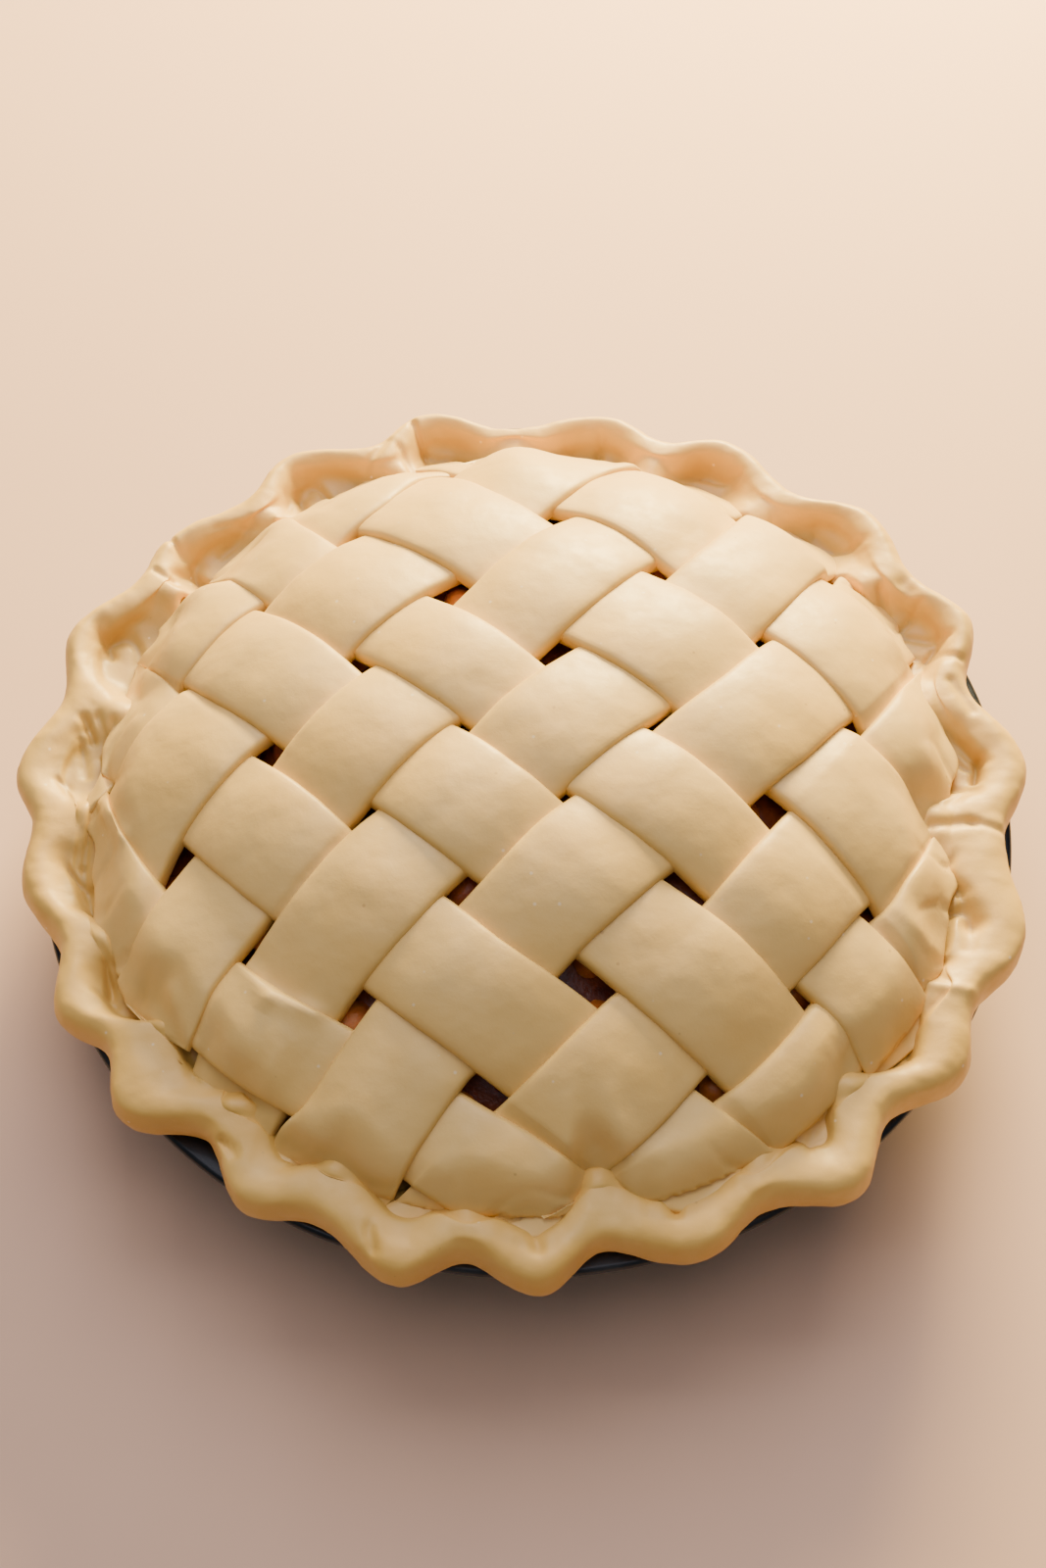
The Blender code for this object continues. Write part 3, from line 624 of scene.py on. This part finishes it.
def rimControls(angles):
    # two outlines at each angle, one through a hollow and one through a nose, blended by the wave
    wave, _, _, nose = crimpWave(angles)
    outer, foot = outerEdge(angles), footAt(angles)
    ring = np.stack([np.cos(angles), np.sin(angles)], -1)
    sway = rim["crestSway"] * waveSum(ring, rim["crestSwaySize"], rim["crestSeed"])
    crest = rim["crest"] + rim["crestRise"] * (0.5 - 0.5 * wave + sway)
    lip, floor = roundAt(rimStyle, angles, 1), roundAt(rimStyle, angles, 2)
    base, wall, inner = rim["baseRadius"], rim["wallRadius"], rim["baseRadius"] - rim["wallSheet"]

    def under(radius):
        x, y = radius * ring[:, 0], radius * ring[:, 1]
        return heapHeight(x, y) - slumpAt(x, y)[0]

    noseTop = np.clip(under(nose) + rim["noseRise"], crest - rim["noseBelow"], crest + rim["noseAbove"])
    slim = np.minimum(lip, outer - nose - rim["noseRoom"])
    floorEdge, tip = outer - lip - rim["hollowRun"], nose + rim["noseRound"]
    easeHigh, easeLow = rim["easeShares"]
    floorStart, floorMiddle = rim["floorShares"]
    ridgeStart, ridgeEnd = rim["ridgeShares"]
    radii = {
        "base": base, "wallMiddle": mix(base, wall, 0.5), "wall": wall, "outer": outer, "foot": foot,
        "lipMiddle": outer - 0.5 * lip, "lipEdge": outer - lip,
        "floorStart": mix(floorEdge, foot, floorStart), "floorMiddle": mix(floorEdge, foot, floorMiddle),
        "slimMiddle": outer - 0.5 * slim, "slimEdge": outer - slim,
        "ridgeStart": mix(outer - slim, tip, ridgeStart), "ridgeEnd": mix(outer - slim, tip, ridgeEnd),
        "nose": nose, "noseUnder": nose + rim["noseUnder"],
        "inner": inner, "innerMiddle": mix(inner, foot - rim["insideTop"], 0.5),
    }
    heights = {
        "stand": 0.0, "bottom": rim["bottom"], "innerFloor": rim["innerFloor"],
        "wallMiddle": mix(rim["innerFloor"], rim["wallTop"], 0.5), "wallTop": rim["wallTop"],
        "flange": rim["flange"], "crest": crest, "floor": floor,
        "easeHigh": mix(crest, floor, easeHigh), "easeLow": mix(crest, floor, easeLow),
        "underFloor": np.minimum(floor - rim["floorDrop"], rim["floorUnder"]),
        "ridgeStart": mix(crest, noseTop, ridgeStart), "ridgeEnd": mix(crest, noseTop, ridgeEnd),
        "noseTop": noseTop, "noseUnder": under(nose + rim["noseUnder"]) + rim["noseFoot"],
    }
    one = np.ones_like(angles)
    parts = {part: [np.stack([radius * one, height * one], -1)
                    for radius, height in outlineAt(rows, radii, heights)]
             for part, rows in rimOutline.items()}
    hollow = np.stack(parts["outside"] + parts["hollow"] + parts["inside"], 1)
    pinched = np.stack(parts["outside"] + parts["nose"] + parts["inside"], 1)
    return mix(hollow, pinched, noseWeight(angles)[:, None, None])


# offset from the middle, width, heading, and how the course bows and sways at the span
risingStrips = [
    (-0.0861, 0.0261, 45.1, -0.0010, -0.0003),
    (-0.0559, 0.0300, 43.9, 0.0008, -0.0060),
    (-0.0217, 0.0263, 43.7, -0.0026, -0.0070),
    (0.0084, 0.0264, 41.7, -0.0038, -0.0096),
    (0.0373, 0.0272, 42.0, -0.0021, -0.0100),
    (0.0724, 0.0257, 47.4, -0.0100, 0.0012),
    (0.0981, 0.0170, 50.8, -0.0175, 0.0120),
]
fallingStrips = [
    (-0.0914, 0.0205, -32.2, 0.0188, -0.0190),
    (-0.0591, 0.0255, -40.3, 0.0102, -0.0015),
    (-0.0265, 0.0262, -38.6, 0.0041, -0.0035),
    (0.0009, 0.0241, -37.5, 0.0040, -0.0060),
    (0.0368, 0.0291, -37.8, -0.0028, -0.0062),
    (0.0719, 0.0305, -38.3, -0.0063, -0.0050),
]


def bandsOf(family):
    return [(row[0] - row[1] / 2, row[0] + row[1] / 2) for row in family]


def courseAt(family, offset):
    # a strip's own heading, bow and sway across its width, blended between strips
    edges = np.array(bandsOf(family)).ravel()
    return [np.interp(offset, edges, np.repeat([row[k] for row in family], 2)) for k in (2, 3, 4)]


def latticePoint(rising, falling):
    # where the courses at these two offsets cross, found in a few rounds
    rising, falling = np.broadcast_arrays(rising, falling)
    riseTurn, riseBow, riseSway = courseAt(risingStrips, rising)
    fallTurn, fallBow, fallSway = courseAt(fallingStrips, falling)
    riseTurn, fallTurn = np.radians(riseTurn), np.radians(fallTurn)
    riseX, riseY = np.cos(riseTurn), np.sin(riseTurn)
    fallX, fallY = np.cos(fallTurn), np.sin(fallTurn)
    scale = fallX * riseX + fallY * riseY
    spread = riseX * fallY - riseY * fallX
    x = np.zeros(rising.shape)
    y = np.zeros(rising.shape)
    for _ in range(lattice["rounds"]):
        alongRise = (x * riseX + y * riseY) / lattice["span"]
        alongFall = (x * fallX + y * fallY) / lattice["span"]
        sideRise = rising + riseBow * alongRise ** 2 + riseSway * alongRise ** 3
        sideFall = falling + fallBow * alongFall ** 2 + fallSway * alongFall ** 3
        along = (sideFall + sideRise * scale) / -spread
        x = sideRise * riseY + along * riseX
        y = -sideRise * riseX + along * riseY
    return x, y


def liftAt(offset, limits, states):
    # 1 where a strip lies over a crossing strip, 0 where it lies under one
    lift = np.full(offset.shape, float(states[0]))
    for index in range(len(limits) - 1):
        start = limits[index][1] - lattice["transition"]
        end = limits[index + 1][0] + lattice["transition"]
        share = smoothStep((offset - start) / (end - start))
        lift = lift + (states[index + 1] - states[index]) * share
    fade = lattice["endFade"]
    lift = lift * smoothStep((offset - limits[0][0] + fade) / fade)
    return lift * (1 - smoothStep((offset - limits[-1][1]) / fade))


def insideRun(inside):
    # longest run of true values in a row, as first and last index
    best, start = None, None
    for index, value in enumerate(list(inside) + [False]):
        if value and start is None:
            start = index
        if not value and start is not None:
            if best is None or index - 1 - start > best[1] - best[0]:
                best = (start, index - 1)
            start = None
    return best


def rowSpans(low, high, rows, placeAt):
    # where each row across a strip starts and ends inside the strips' reach, or None
    samples = lattice["samples"]
    share = np.linspace(0, 1, samples)
    columns = low[:, None] + (high - low)[:, None] * share
    x, y = placeAt(columns, rows[:, None])
    angles = np.arctan2(y, x)
    ring = np.stack([angles, rows[:, None] + 0 * x], -1)
    waver = lattice["reachWaver"] * waveSum(ring, lattice["reachWaverSize"], lattice["reachSeed"])
    excess = np.hypot(x, y) - reachAt(angles) - waver
    spans = []
    for row in range(len(rows)):
        run = insideRun(excess[row] < 0)
        if run is None:
            spans.append(None)
            continue
        ends = []
        for index, way in ((run[0], -1), (run[1], 1)):
            value = columns[row, index]
            if 0 <= index + way < samples:
                part = excess[row, index] / (excess[row, index] - excess[row, index + way])
                value = mix(value, columns[row, index + way], part)
            ends.append(value)
        spans.append(tuple(ends) if ends[1] - ends[0] > lattice["narrowest"] else None)
    return spans


# across a strip from its edge inwards: distance and share of the thickness
edgeProfile = [(0.00050, 0.00), (0.00012, 0.08), (0.00000, 0.22), (0.00003, 0.44), (0.00012, 0.62),
               (0.00032, 0.77), (0.00066, 0.88), (0.00120, 0.94), (0.00210, 0.97), (0.00350, 0.99),
               (0.00560, 1.00)]


def stripSection(width):
    # once round a strip's section: distance from its first edge and share of the thickness
    scale = min(1.0, width / lattice["fullEdgeWidth"])
    left = [(distance * scale, height) for distance, height in edgeProfile]
    right = [(width - distance, height) for distance, height in reversed(left)]

    def evenly(start, end, count, height):
        return [(mix(start, end, (k + 1) / (count + 1)), height) for k in range(count)]

    middle = evenly(left[-1][0], right[0][0], lattice["middleCount"], 1.0)
    under = evenly(right[-1][0], left[0][0], lattice["underCount"], 0.0)
    return np.array(left + middle + right + under)


def makeStrip(name, family, index, crossing, states, placeAt, seed):
    offset, width = family[index][:2]
    limits = bandsOf(crossing)
    overrun, shift = lattice["overrun"], lattice["seedStep"]
    rows = np.arange(limits[0][0] - overrun, limits[-1][1] + overrun, lattice["rowStep"])
    drift = np.stack([rows, np.full_like(rows, seed * lattice["waverDrift"])], -1)
    rimSide = slumpAt(*placeAt(np.full_like(rows, offset), rows))[1]

    def edgeAt(side, turn):
        # an edge wavers a little, and more where it is pressed and spreads
        steady = lattice["waver"] * waveSum(drift, lattice["waverSizes"][turn], seed + turn * shift)
        loose = lattice["endWaver"] * waveSum(drift, lattice["endWaverSizes"][turn],
                                              seed + (turn + 2) * shift)
        return offset + side * width / 2 + steady + rimSide * (loose + side * lattice["pressSpread"])

    spans = rowSpans(edgeAt(-1, 0), edgeAt(1, 1), rows, placeAt)
    keep = [k for k, span in enumerate(spans) if span is not None]
    keep = [k for k in range(keep[0], keep[-1] + 1) if spans[k] is not None]
    rings = []
    cuts = []
    for k in keep:
        start, end = spans[k]
        section = stripSection(end - start)
        across, up = section[:, 0], section[:, 1]
        x, y = placeAt(start + across, rows[k])
        share = across / (end - start)
        drop, press = slumpAt(x, y)
        lift = liftAt(np.array([rows[k]]), limits, states)[0] * mix(1, lattice["pressLift"], press)
        thick = lattice["thickness"] * mix(1, lattice["pressThickness"], press)
        crown = lattice["crown"] * (1 - press) * (1 - (2 * share - 1) ** 2) * up
        base = np.stack([*slideOut(x, y, drop), heapHeight(x, y) - drop + lattice["gap"]], -1)
        marks = markDepth(base[:, 0], base[:, 1], stripMarks) * up
        marks += creaseStyle["stripDepth"] * press * creaseShare(base[:, 0], base[:, 1]) * up
        raised = lift * (lattice["thickness"] + lattice["gap"]) + up * thick + crown - marks
        rings.append(base + heapNormal(x, y, lattice["lean"]) * raised[:, None])
        cuts.append(np.where(up < lattice["cutHeight"], 1.0, 0.0))
    count = len(rings[0])
    faces = []
    for k in range(len(rings) - 1):
        for j in range(count):
            after = (j + 1) % count
            faces.append((k * count + j, k * count + after, (k + 1) * count + after, (k + 1) * count + j))
    faces.append(tuple(range(count)))
    faces.append(tuple(reversed(range((len(rings) - 1) * count, len(rings) * count))))
    mesh = bpy.data.meshes.new(name)
    mesh.from_pydata([tuple(v) for v in np.concatenate(rings)], [], faces)
    mesh.attributes.new("cutSide", "FLOAT", "POINT").data.foreach_set("value", np.concatenate(cuts))
    turnOutwards(mesh)
    mesh.shade_smooth()
    mesh.set_sharp_from_angle(angle=math.radians(lattice["sharpAngle"]))
    values = {**stripRelief, "Seed": float(seed), "Dough": stripDough}
    return runTree(inScene(name, mesh), reliefTree, values, name)


def makeLattice():
    # even and odd crossings take turns at going over
    pieces = []
    for rise in range(len(risingStrips)):
        states = [(rise + fall + 1) % 2 for fall in range(len(fallingStrips))]
        piece = makeStrip("doughStripRising.%d" % rise, risingStrips, rise, fallingStrips, states,
                          latticePoint, lattice["risingSeed"] + rise)
        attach(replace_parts(piece, "strip_rising_%d" % rise), "root")
        pieces.append(piece)
    for fall in range(len(fallingStrips)):
        states = [1 - (rise + fall + 1) % 2 for rise in range(len(risingStrips))]
        piece = makeStrip("doughStripFalling.%d" % (fall + 1), fallingStrips, fall, risingStrips, states,
                          lambda own, other: latticePoint(other, own), lattice["fallingSeed"] + fall)
        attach(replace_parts(piece, "strip_falling_%d" % (fall + 1)), "root")
        pieces.append(piece)
    return pieces


stripPieces = makeLattice()
print("lattice woven:", len(stripPieces), "strips")


def makeRim():
    angles = np.arange(rim["steps"]) * 2 * math.pi / rim["steps"]
    section = splineThrough(rimControls(angles), rim["parts"])
    radius, height = section[..., 0], section[..., 1]
    outer = outerEdge(angles)[:, None]
    lip = roundAt(rimStyle, angles, 1)[:, None]
    inward = smoothStep((outer - rim["slantStart"] - radius) / rim["slantRun"])
    around = angles[:, None] + slantAt(angles)[:, None] * inward
    x, y = radius * np.cos(around), radius * np.sin(around)
    upper = smoothStep((height - rim["flange"]) / rim["upperFade"])
    # the inner part of each hollow, which gets creases and the painted shade that darkens the rim there
    hollow = smoothStep((outer - lip + rim["shadeAndCreaseStart"] - radius) / rim["shadeAndCreaseRun"])
    hollow = hollow * (1 - noseWeight(angles))[:, None] * upper
    height = height - markDepth(x, y, rimMarks) * upper
    height = height - creaseStyle["rimDepth"] * hollow * creaseShare(x, y)
    columns = np.stack([x, y, height], -1)
    obj = meshObject("crimpedCrust",
                     *skinAround(columns, (0, 0, rim["bottom"]), (0, 0, rim["innerFloor"])))
    # the two points on the axis come last and lie in no hollow, so they get no painted shade
    shares = np.append(hollow.ravel(), (0.0, 0.0))
    obj.data.attributes.new("hollow", "FLOAT", "POINT").data.foreach_set("value", shares)
    return runTree(obj, reliefTree, {**rimRelief, "Dough": rimDough}, "crimpedCrust")


crust = makeRim()
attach(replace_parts(crust, "crust"), "root")
print("rim crimped:", len(crimps), "lobes")

# the core's wall goes up from its foot as radius and height
filling = {
    "steps": 180, "rings": 60, "ringStart": 0.2, "sink": 0.0030, "pressSink": 0.0045,
    "wall": [(0.0800, 0.0053), (0.0848, 0.0085), (0.0955, 0.0215), (0.1052, 0.0362)],
    "lump": 0.0011, "lumpSize": 0.017, "lumpSeed": 8,
    "syrup": (0.110, 0.018, 0.007, 1), "syrupPale": (0.30, 0.075, 0.018, 1),
    "syrupRoughness": 0.18, "syrupScatter": 0.0,
    "stoneFruit": (0.70, 0.23, 0.035, 1), "stoneFruitDark": (0.38, 0.075, 0.018, 1),
    "darkFruit": (0.170, 0.026, 0.012, 1), "darkFruitPale": (0.40, 0.110, 0.035, 1),
}
fruitSkin = {
    "patchNoise": (90.0, 4.0), "patchEdge": (0.32, 0.68), "fineNoise": (620.0, 3.0, 0.6),
    "bump": (0.0004, 0.5), "roughnessSpread": 0.25, "specular": 0.30, "coat": 0.08, "coatRoughness": 0.15,
    "scatterRadius": (1.0, 0.35, 0.15), "scatterDepth": 0.003,
}


def fruitMaterial(name, dark, pale, roughness, scatter):
    material, tree, shader, coords = newMaterial(name)
    patches = ramp(tree, noiseAt(tree, coords, *fruitSkin["patchNoise"]), *fruitSkin["patchEdge"])
    fine = noiseAt(tree, coords, *fruitSkin["fineNoise"])
    setInputs(tree, shader, {
        "Base Color": mixColor(tree, patches, dark, pale),
        "Roughness": between(tree, fine, roughness, fruitSkin["roughnessSpread"]),
        "Normal": bumpChain(tree, [(fine, *fruitSkin["bump"])]),
        "Specular IOR Level": fruitSkin["specular"],
        "Coat Weight": fruitSkin["coat"], "Coat Roughness": fruitSkin["coatRoughness"],
        "Subsurface Weight": scatter, "Subsurface Radius": fruitSkin["scatterRadius"],
        "Subsurface Scale": fruitSkin["scatterDepth"],
    })
    return material


def makeFillingCore():
    steps, rings, wall = filling["steps"], filling["rings"], filling["wall"]
    side = wall[-1][0]
    radii = side * (1 - (np.arange(rings) + filling["ringStart"]) / rings)
    columns = []
    for angle in np.arange(steps) * 2 * math.pi / steps:
        ca, sa = math.cos(angle), math.sin(angle)
        drop, press = slumpAt(radii * ca, radii * sa)
        top = heapHeight(radii * ca, radii * sa) - drop - filling["sink"] - filling["pressSink"] * press
        points = np.stack([*slideOut(radii * ca, radii * sa, drop), top], -1)
        points[:, :2] *= np.minimum(1.0, side / np.hypot(points[:, 0], points[:, 1]))[:, None]
        points[:, 2] += filling["lump"] * waveSum(points, filling["lumpSize"], filling["lumpSeed"])
        columns.append([(r * ca, r * sa, z) for r, z in wall] + list(points))
    lowPoint = (0, 0, wall[0][1])
    highPoint = (0, 0, heapHeight(0.0, 0.0) - filling["sink"])
    core = meshObject("fruitSyrup", *skinAround(columns, lowPoint, highPoint))
    syrup = fruitMaterial("thickSyrup", filling["syrup"], filling["syrupPale"],
                          filling["syrupRoughness"], filling["syrupScatter"])
    core.data.materials.append(syrup)
    return core


fruitInputs = {"Spacing": 0.013, "Piece Radius": 0.006, "Knobbliness": 0.004, "Sink": 0.0030,
               "Lowest": 0.041, "Seed": 1}
# turns and sizes are a lowest and a highest value each
fruitShape = {"upward": 0.25, "density": 40000.0, "roundness": 3, "lumpScale": 110.0, "lumpDetail": 2.0,
              "turns": ((-0.5, -0.5, 0.0), (0.5, 0.5, 6.28)),
              "sizes": ((0.75, 0.65, 0.55), (1.35, 1.05, 0.85))}


def buildFruitTree():
    # lumpy fruit pieces lying in the top of the heap
    tree, inside = newTree("fruitScatter", fruitInputs, "Fruit")
    position = tree.nodes.new("GeometryNodeInputPosition").outputs[0]
    normal = tree.nodes.new("GeometryNodeInputNormal").outputs[0]

    def zAbove(vector, limit):
        parts = addNode(tree, "ShaderNodeSeparateXYZ", {0: vector})
        return addNode(tree, "FunctionNodeCompare", {"A": parts.outputs["Z"], "B": limit},
                       data_type="FLOAT", operation="GREATER_THAN").outputs[0]

    def anyBetween(low, high):
        return addNode(tree, "FunctionNodeRandomValue", {0: low, 1: high, "Seed": inside["Seed"]},
                       data_type="FLOAT_VECTOR").outputs[0]

    chosen = addNode(tree, "FunctionNodeBooleanMath",
                     {0: zAbove(normal, fruitShape["upward"]), 1: zAbove(position, inside["Lowest"])},
                     operation="AND")
    scatter = addNode(tree, "GeometryNodeDistributePointsOnFaces",
                      {"Mesh": inside["Geometry"], "Selection": chosen.outputs[0],
                       "Distance Min": inside["Spacing"], "Density Max": fruitShape["density"],
                       "Seed": inside["Seed"]}, distribute_method="POISSON")
    ball = addNode(tree, "GeometryNodeMeshIcoSphere",
                   {"Radius": inside["Piece Radius"], "Subdivisions": fruitShape["roundness"]})
    put = addNode(tree, "GeometryNodeInstanceOnPoints",
                  {"Points": scatter.outputs["Points"], "Instance": ball.outputs["Mesh"],
                   "Rotation": anyBetween(*fruitShape["turns"]),
                   "Scale": anyBetween(*fruitShape["sizes"])})
    real = addNode(tree, "GeometryNodeRealizeInstances", {0: put.outputs[0]})
    noise = addNode(tree, "ShaderNodeTexNoise",
                    {"Vector": position, "Scale": fruitShape["lumpScale"],
                     "Detail": fruitShape["lumpDetail"]})
    lumps = alongNormal(tree, swell(tree, noise.outputs["Fac"], inside["Knobbliness"]))
    drop = addNode(tree, "ShaderNodeCombineXYZ", {"Z": mathNode(tree, "MULTIPLY", inside["Sink"], -1.0)})
    offset = addNode(tree, "ShaderNodeVectorMath", {0: lumps, 1: drop.outputs[0]}, operation="ADD")
    closeTree(tree, real.outputs[0], offset.outputs[0], inside["Fruit"])
    return tree


fillingCore = makeFillingCore()
fruitTree = buildFruitTree()
# name, spacing, radius, seed, dark and pale colour, roughness and how much light goes in
fruitKinds = [
    ("stoneFruitPieces", 0.0130, 0.0068, 5, "stoneFruit", "stoneFruitDark", 0.28, 0.25),
    ("darkFruitPieces", 0.0170, 0.0056, 9, "darkFruit", "darkFruitPale", 0.32, 0.10),
]
for kindName, spacing, pieceRadius, seed, dark, pale, roughness, scatter in fruitKinds:
    material = fruitMaterial(kindName + "Skin", filling[dark], filling[pale], roughness, scatter)
    values = {"Spacing": spacing, "Piece Radius": pieceRadius, "Seed": seed, "Fruit": material}
    piece = runTree(fillingCore, fruitTree, {**fruitInputs, **values}, kindName, keepSource=True)
    piece.data.shade_smooth()
    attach(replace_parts(piece, "filling"), "root")
    print(kindName, len(piece.data.polygons), "faces")
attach(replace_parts(fillingCore, "filling"), "root")

# foot: degrees at each of its steps and at its end, and how far it goes out and up as shares of the
# corner; roll: where the rolled edge starts and how far it turns, in degrees
tin = {
    "height": 0.0365, "sheet": 0.0010, "base": 0.0900, "mouth": 0.1135, "edge": 0.1213,
    "corner": 0.0050, "footStep": 9.3, "footCount": 5, "footEnd": 56, "footOut": 0.95, "footUp": 0.495,
    "roll": 0.0014, "rollStart": -200, "rollSweep": 290, "rollCount": 15, "steps": 256,
    "color": (0.012, 0.015, 0.018, 1), "worn": (0.045, 0.050, 0.055, 1),
    "wornNoise": (60.0, 5.0), "wornEdge": (0.40, 0.75), "grainNoise": (900.0, 2.0), "bump": (0.00008, 0.4),
    "roughness": 0.36, "roughnessSpread": 0.16, "metallic": 0.55, "coat": 0.15,
}
# outlineAt's rows, up the outside and down the lining
tinSide = [("base", 0.0010, "corner", 0.0), ("mouth", 0.0, "top", -0.0030), ("mouth", 0.0004, "top", -0.0018),
           ("mouth", 0.0014, "top", -0.0011), ("flat", -0.0006, "top", -0.0010)]
tinLining = [("flat", -0.0010, "top", -0.0001), ("mouth", 0.0011, "top", 0.0),
             ("mouth", -0.0002, "top", -0.0008), ("mouth", -0.0010, "top", -0.0028),
             ("base", -0.0002, "corner", 0.0), ("foot", 0.0, "sheet", 0.0)]


def tinMaterial():
    material, tree, shader, coords = newMaterial("darkSteel")
    worn = ramp(tree, noiseAt(tree, coords, *tin["wornNoise"]), *tin["wornEdge"])
    grain = noiseAt(tree, coords, *tin["grainNoise"])
    setInputs(tree, shader, {
        "Base Color": mixColor(tree, worn, tin["color"], tin["worn"]),
        "Roughness": between(tree, worn, tin["roughness"], tin["roughnessSpread"]),
        "Normal": bumpChain(tree, [(grain, *tin["bump"])]),
        "Metallic": tin["metallic"], "Coat Weight": tin["coat"],
    })
    return material


def tinOutline():
    # radius and height, from the foot outside over the rolled edge and back down inside
    corner, roll, foot = tin["corner"], tin["roll"], tin["base"] - tin["corner"]
    radii = {"foot": foot, "base": tin["base"], "mouth": tin["mouth"], "flat": tin["edge"] - 2 * roll}
    heights = {"sheet": tin["sheet"], "corner": corner, "top": tin["height"]}
    footEnd = math.radians(tin["footEnd"])
    outline = [(foot, 0.0)]
    for k in range(tin["footCount"]):
        turn = math.radians(tin["footStep"] * (k + 1))
        outline.append((foot + tin["footOut"] * corner * math.sin(turn) / math.sin(footEnd),
                        tin["footUp"] * corner * (1 - math.cos(turn)) / (1 - math.cos(footEnd))))
    outline += outlineAt(tinSide, radii, heights)
    for k in range(tin["rollCount"]):
        turn = math.radians(tin["rollStart"] + tin["rollSweep"] * k / (tin["rollCount"] - 1))
        outline.append((tin["edge"] - roll + roll * math.cos(turn),
                        tin["height"] - roll + roll * math.sin(turn)))
    return outline + outlineAt(tinLining, radii, heights)


def makeTin():
    outline = tinOutline()
    turns = [2 * math.pi * step / tin["steps"] for step in range(tin["steps"])]
    columns = [[(r * math.cos(turn), r * math.sin(turn), z) for r, z in outline] for turn in turns]
    obj = meshObject("pieTin", *skinAround(columns, (0, 0, 0), (0, 0, tin["sheet"])))
    obj.data.materials.append(tinMaterial())
    return obj


tinPiece = makeTin()
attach(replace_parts(tinPiece, "tin"), "root")
print("tin turned")

studio = {"floor": (0.80, 0.50, 0.33, 1), "floorPale": (0.82, 0.53, 0.38, 1), "paleShare": 0.25,
          "paleNoise": (9.0, 6.0, 0.6), "paleEdge": (0.3, 0.7), "floorRoughness": 0.75, "floorReach": 2,
          "world": (0.74, 0.86, 1.0, 1), "worldStrength": 0.20, "aim": (0, 0, 0.05)}
# the lights: place, size across, power and colour
studioLights = {
    "lowWindow": ((0.200, 0.800, 0.340), 0.35, 42.0, (1.0, 0.81, 0.37)),
    "backPanel": ((0.0, 0.75, 1.10), 0.90, 12.5, (1.0, 0.93, 0.95)),
    "topPanel": ((-0.10, 0.00, 1.30), 1.00, 5.2, (0.93, 0.88, 1.0)),
}


def makeLight(name, place, size, power, color):
    light = bpy.data.lights.new(name, "AREA")
    light.energy = power
    light.size = size
    light.color = color
    lamp = inScene(name, light)
    lamp.location = place
    lamp.rotation_euler = (Vector(studio["aim"]) - Vector(place)).to_track_quat("-Z", "Y").to_euler()


def makeStudio():
    reach = studio["floorReach"]
    corners = [(-reach, -reach, 0), (reach, -reach, 0), (reach, reach, 0), (-reach, reach, 0)]
    floor = meshObject("floor", corners, [(0, 1, 2, 3)], smooth=False)
    material, tree, shader, coords = newMaterial("paleFloor")
    pale = ramp(tree, noiseAt(tree, coords, *studio["paleNoise"]), *studio["paleEdge"])
    color = mixColor(tree, mathNode(tree, "MULTIPLY", pale, studio["paleShare"]),
                     studio["floor"], studio["floorPale"])
    setInputs(tree, shader, {"Base Color": color, "Roughness": studio["floorRoughness"]})
    floor.data.materials.append(material)
    world = bpy.data.worlds.new("softRoom")
    world.use_nodes = True
    setInputs(world.node_tree, world.node_tree.nodes["Background"],
              {0: studio["world"], 1: studio["worldStrength"]})
    bpy.context.scene.world = world
    for name, values in studioLights.items():
        makeLight(name, *values)


makeStudio()
print("studio set")
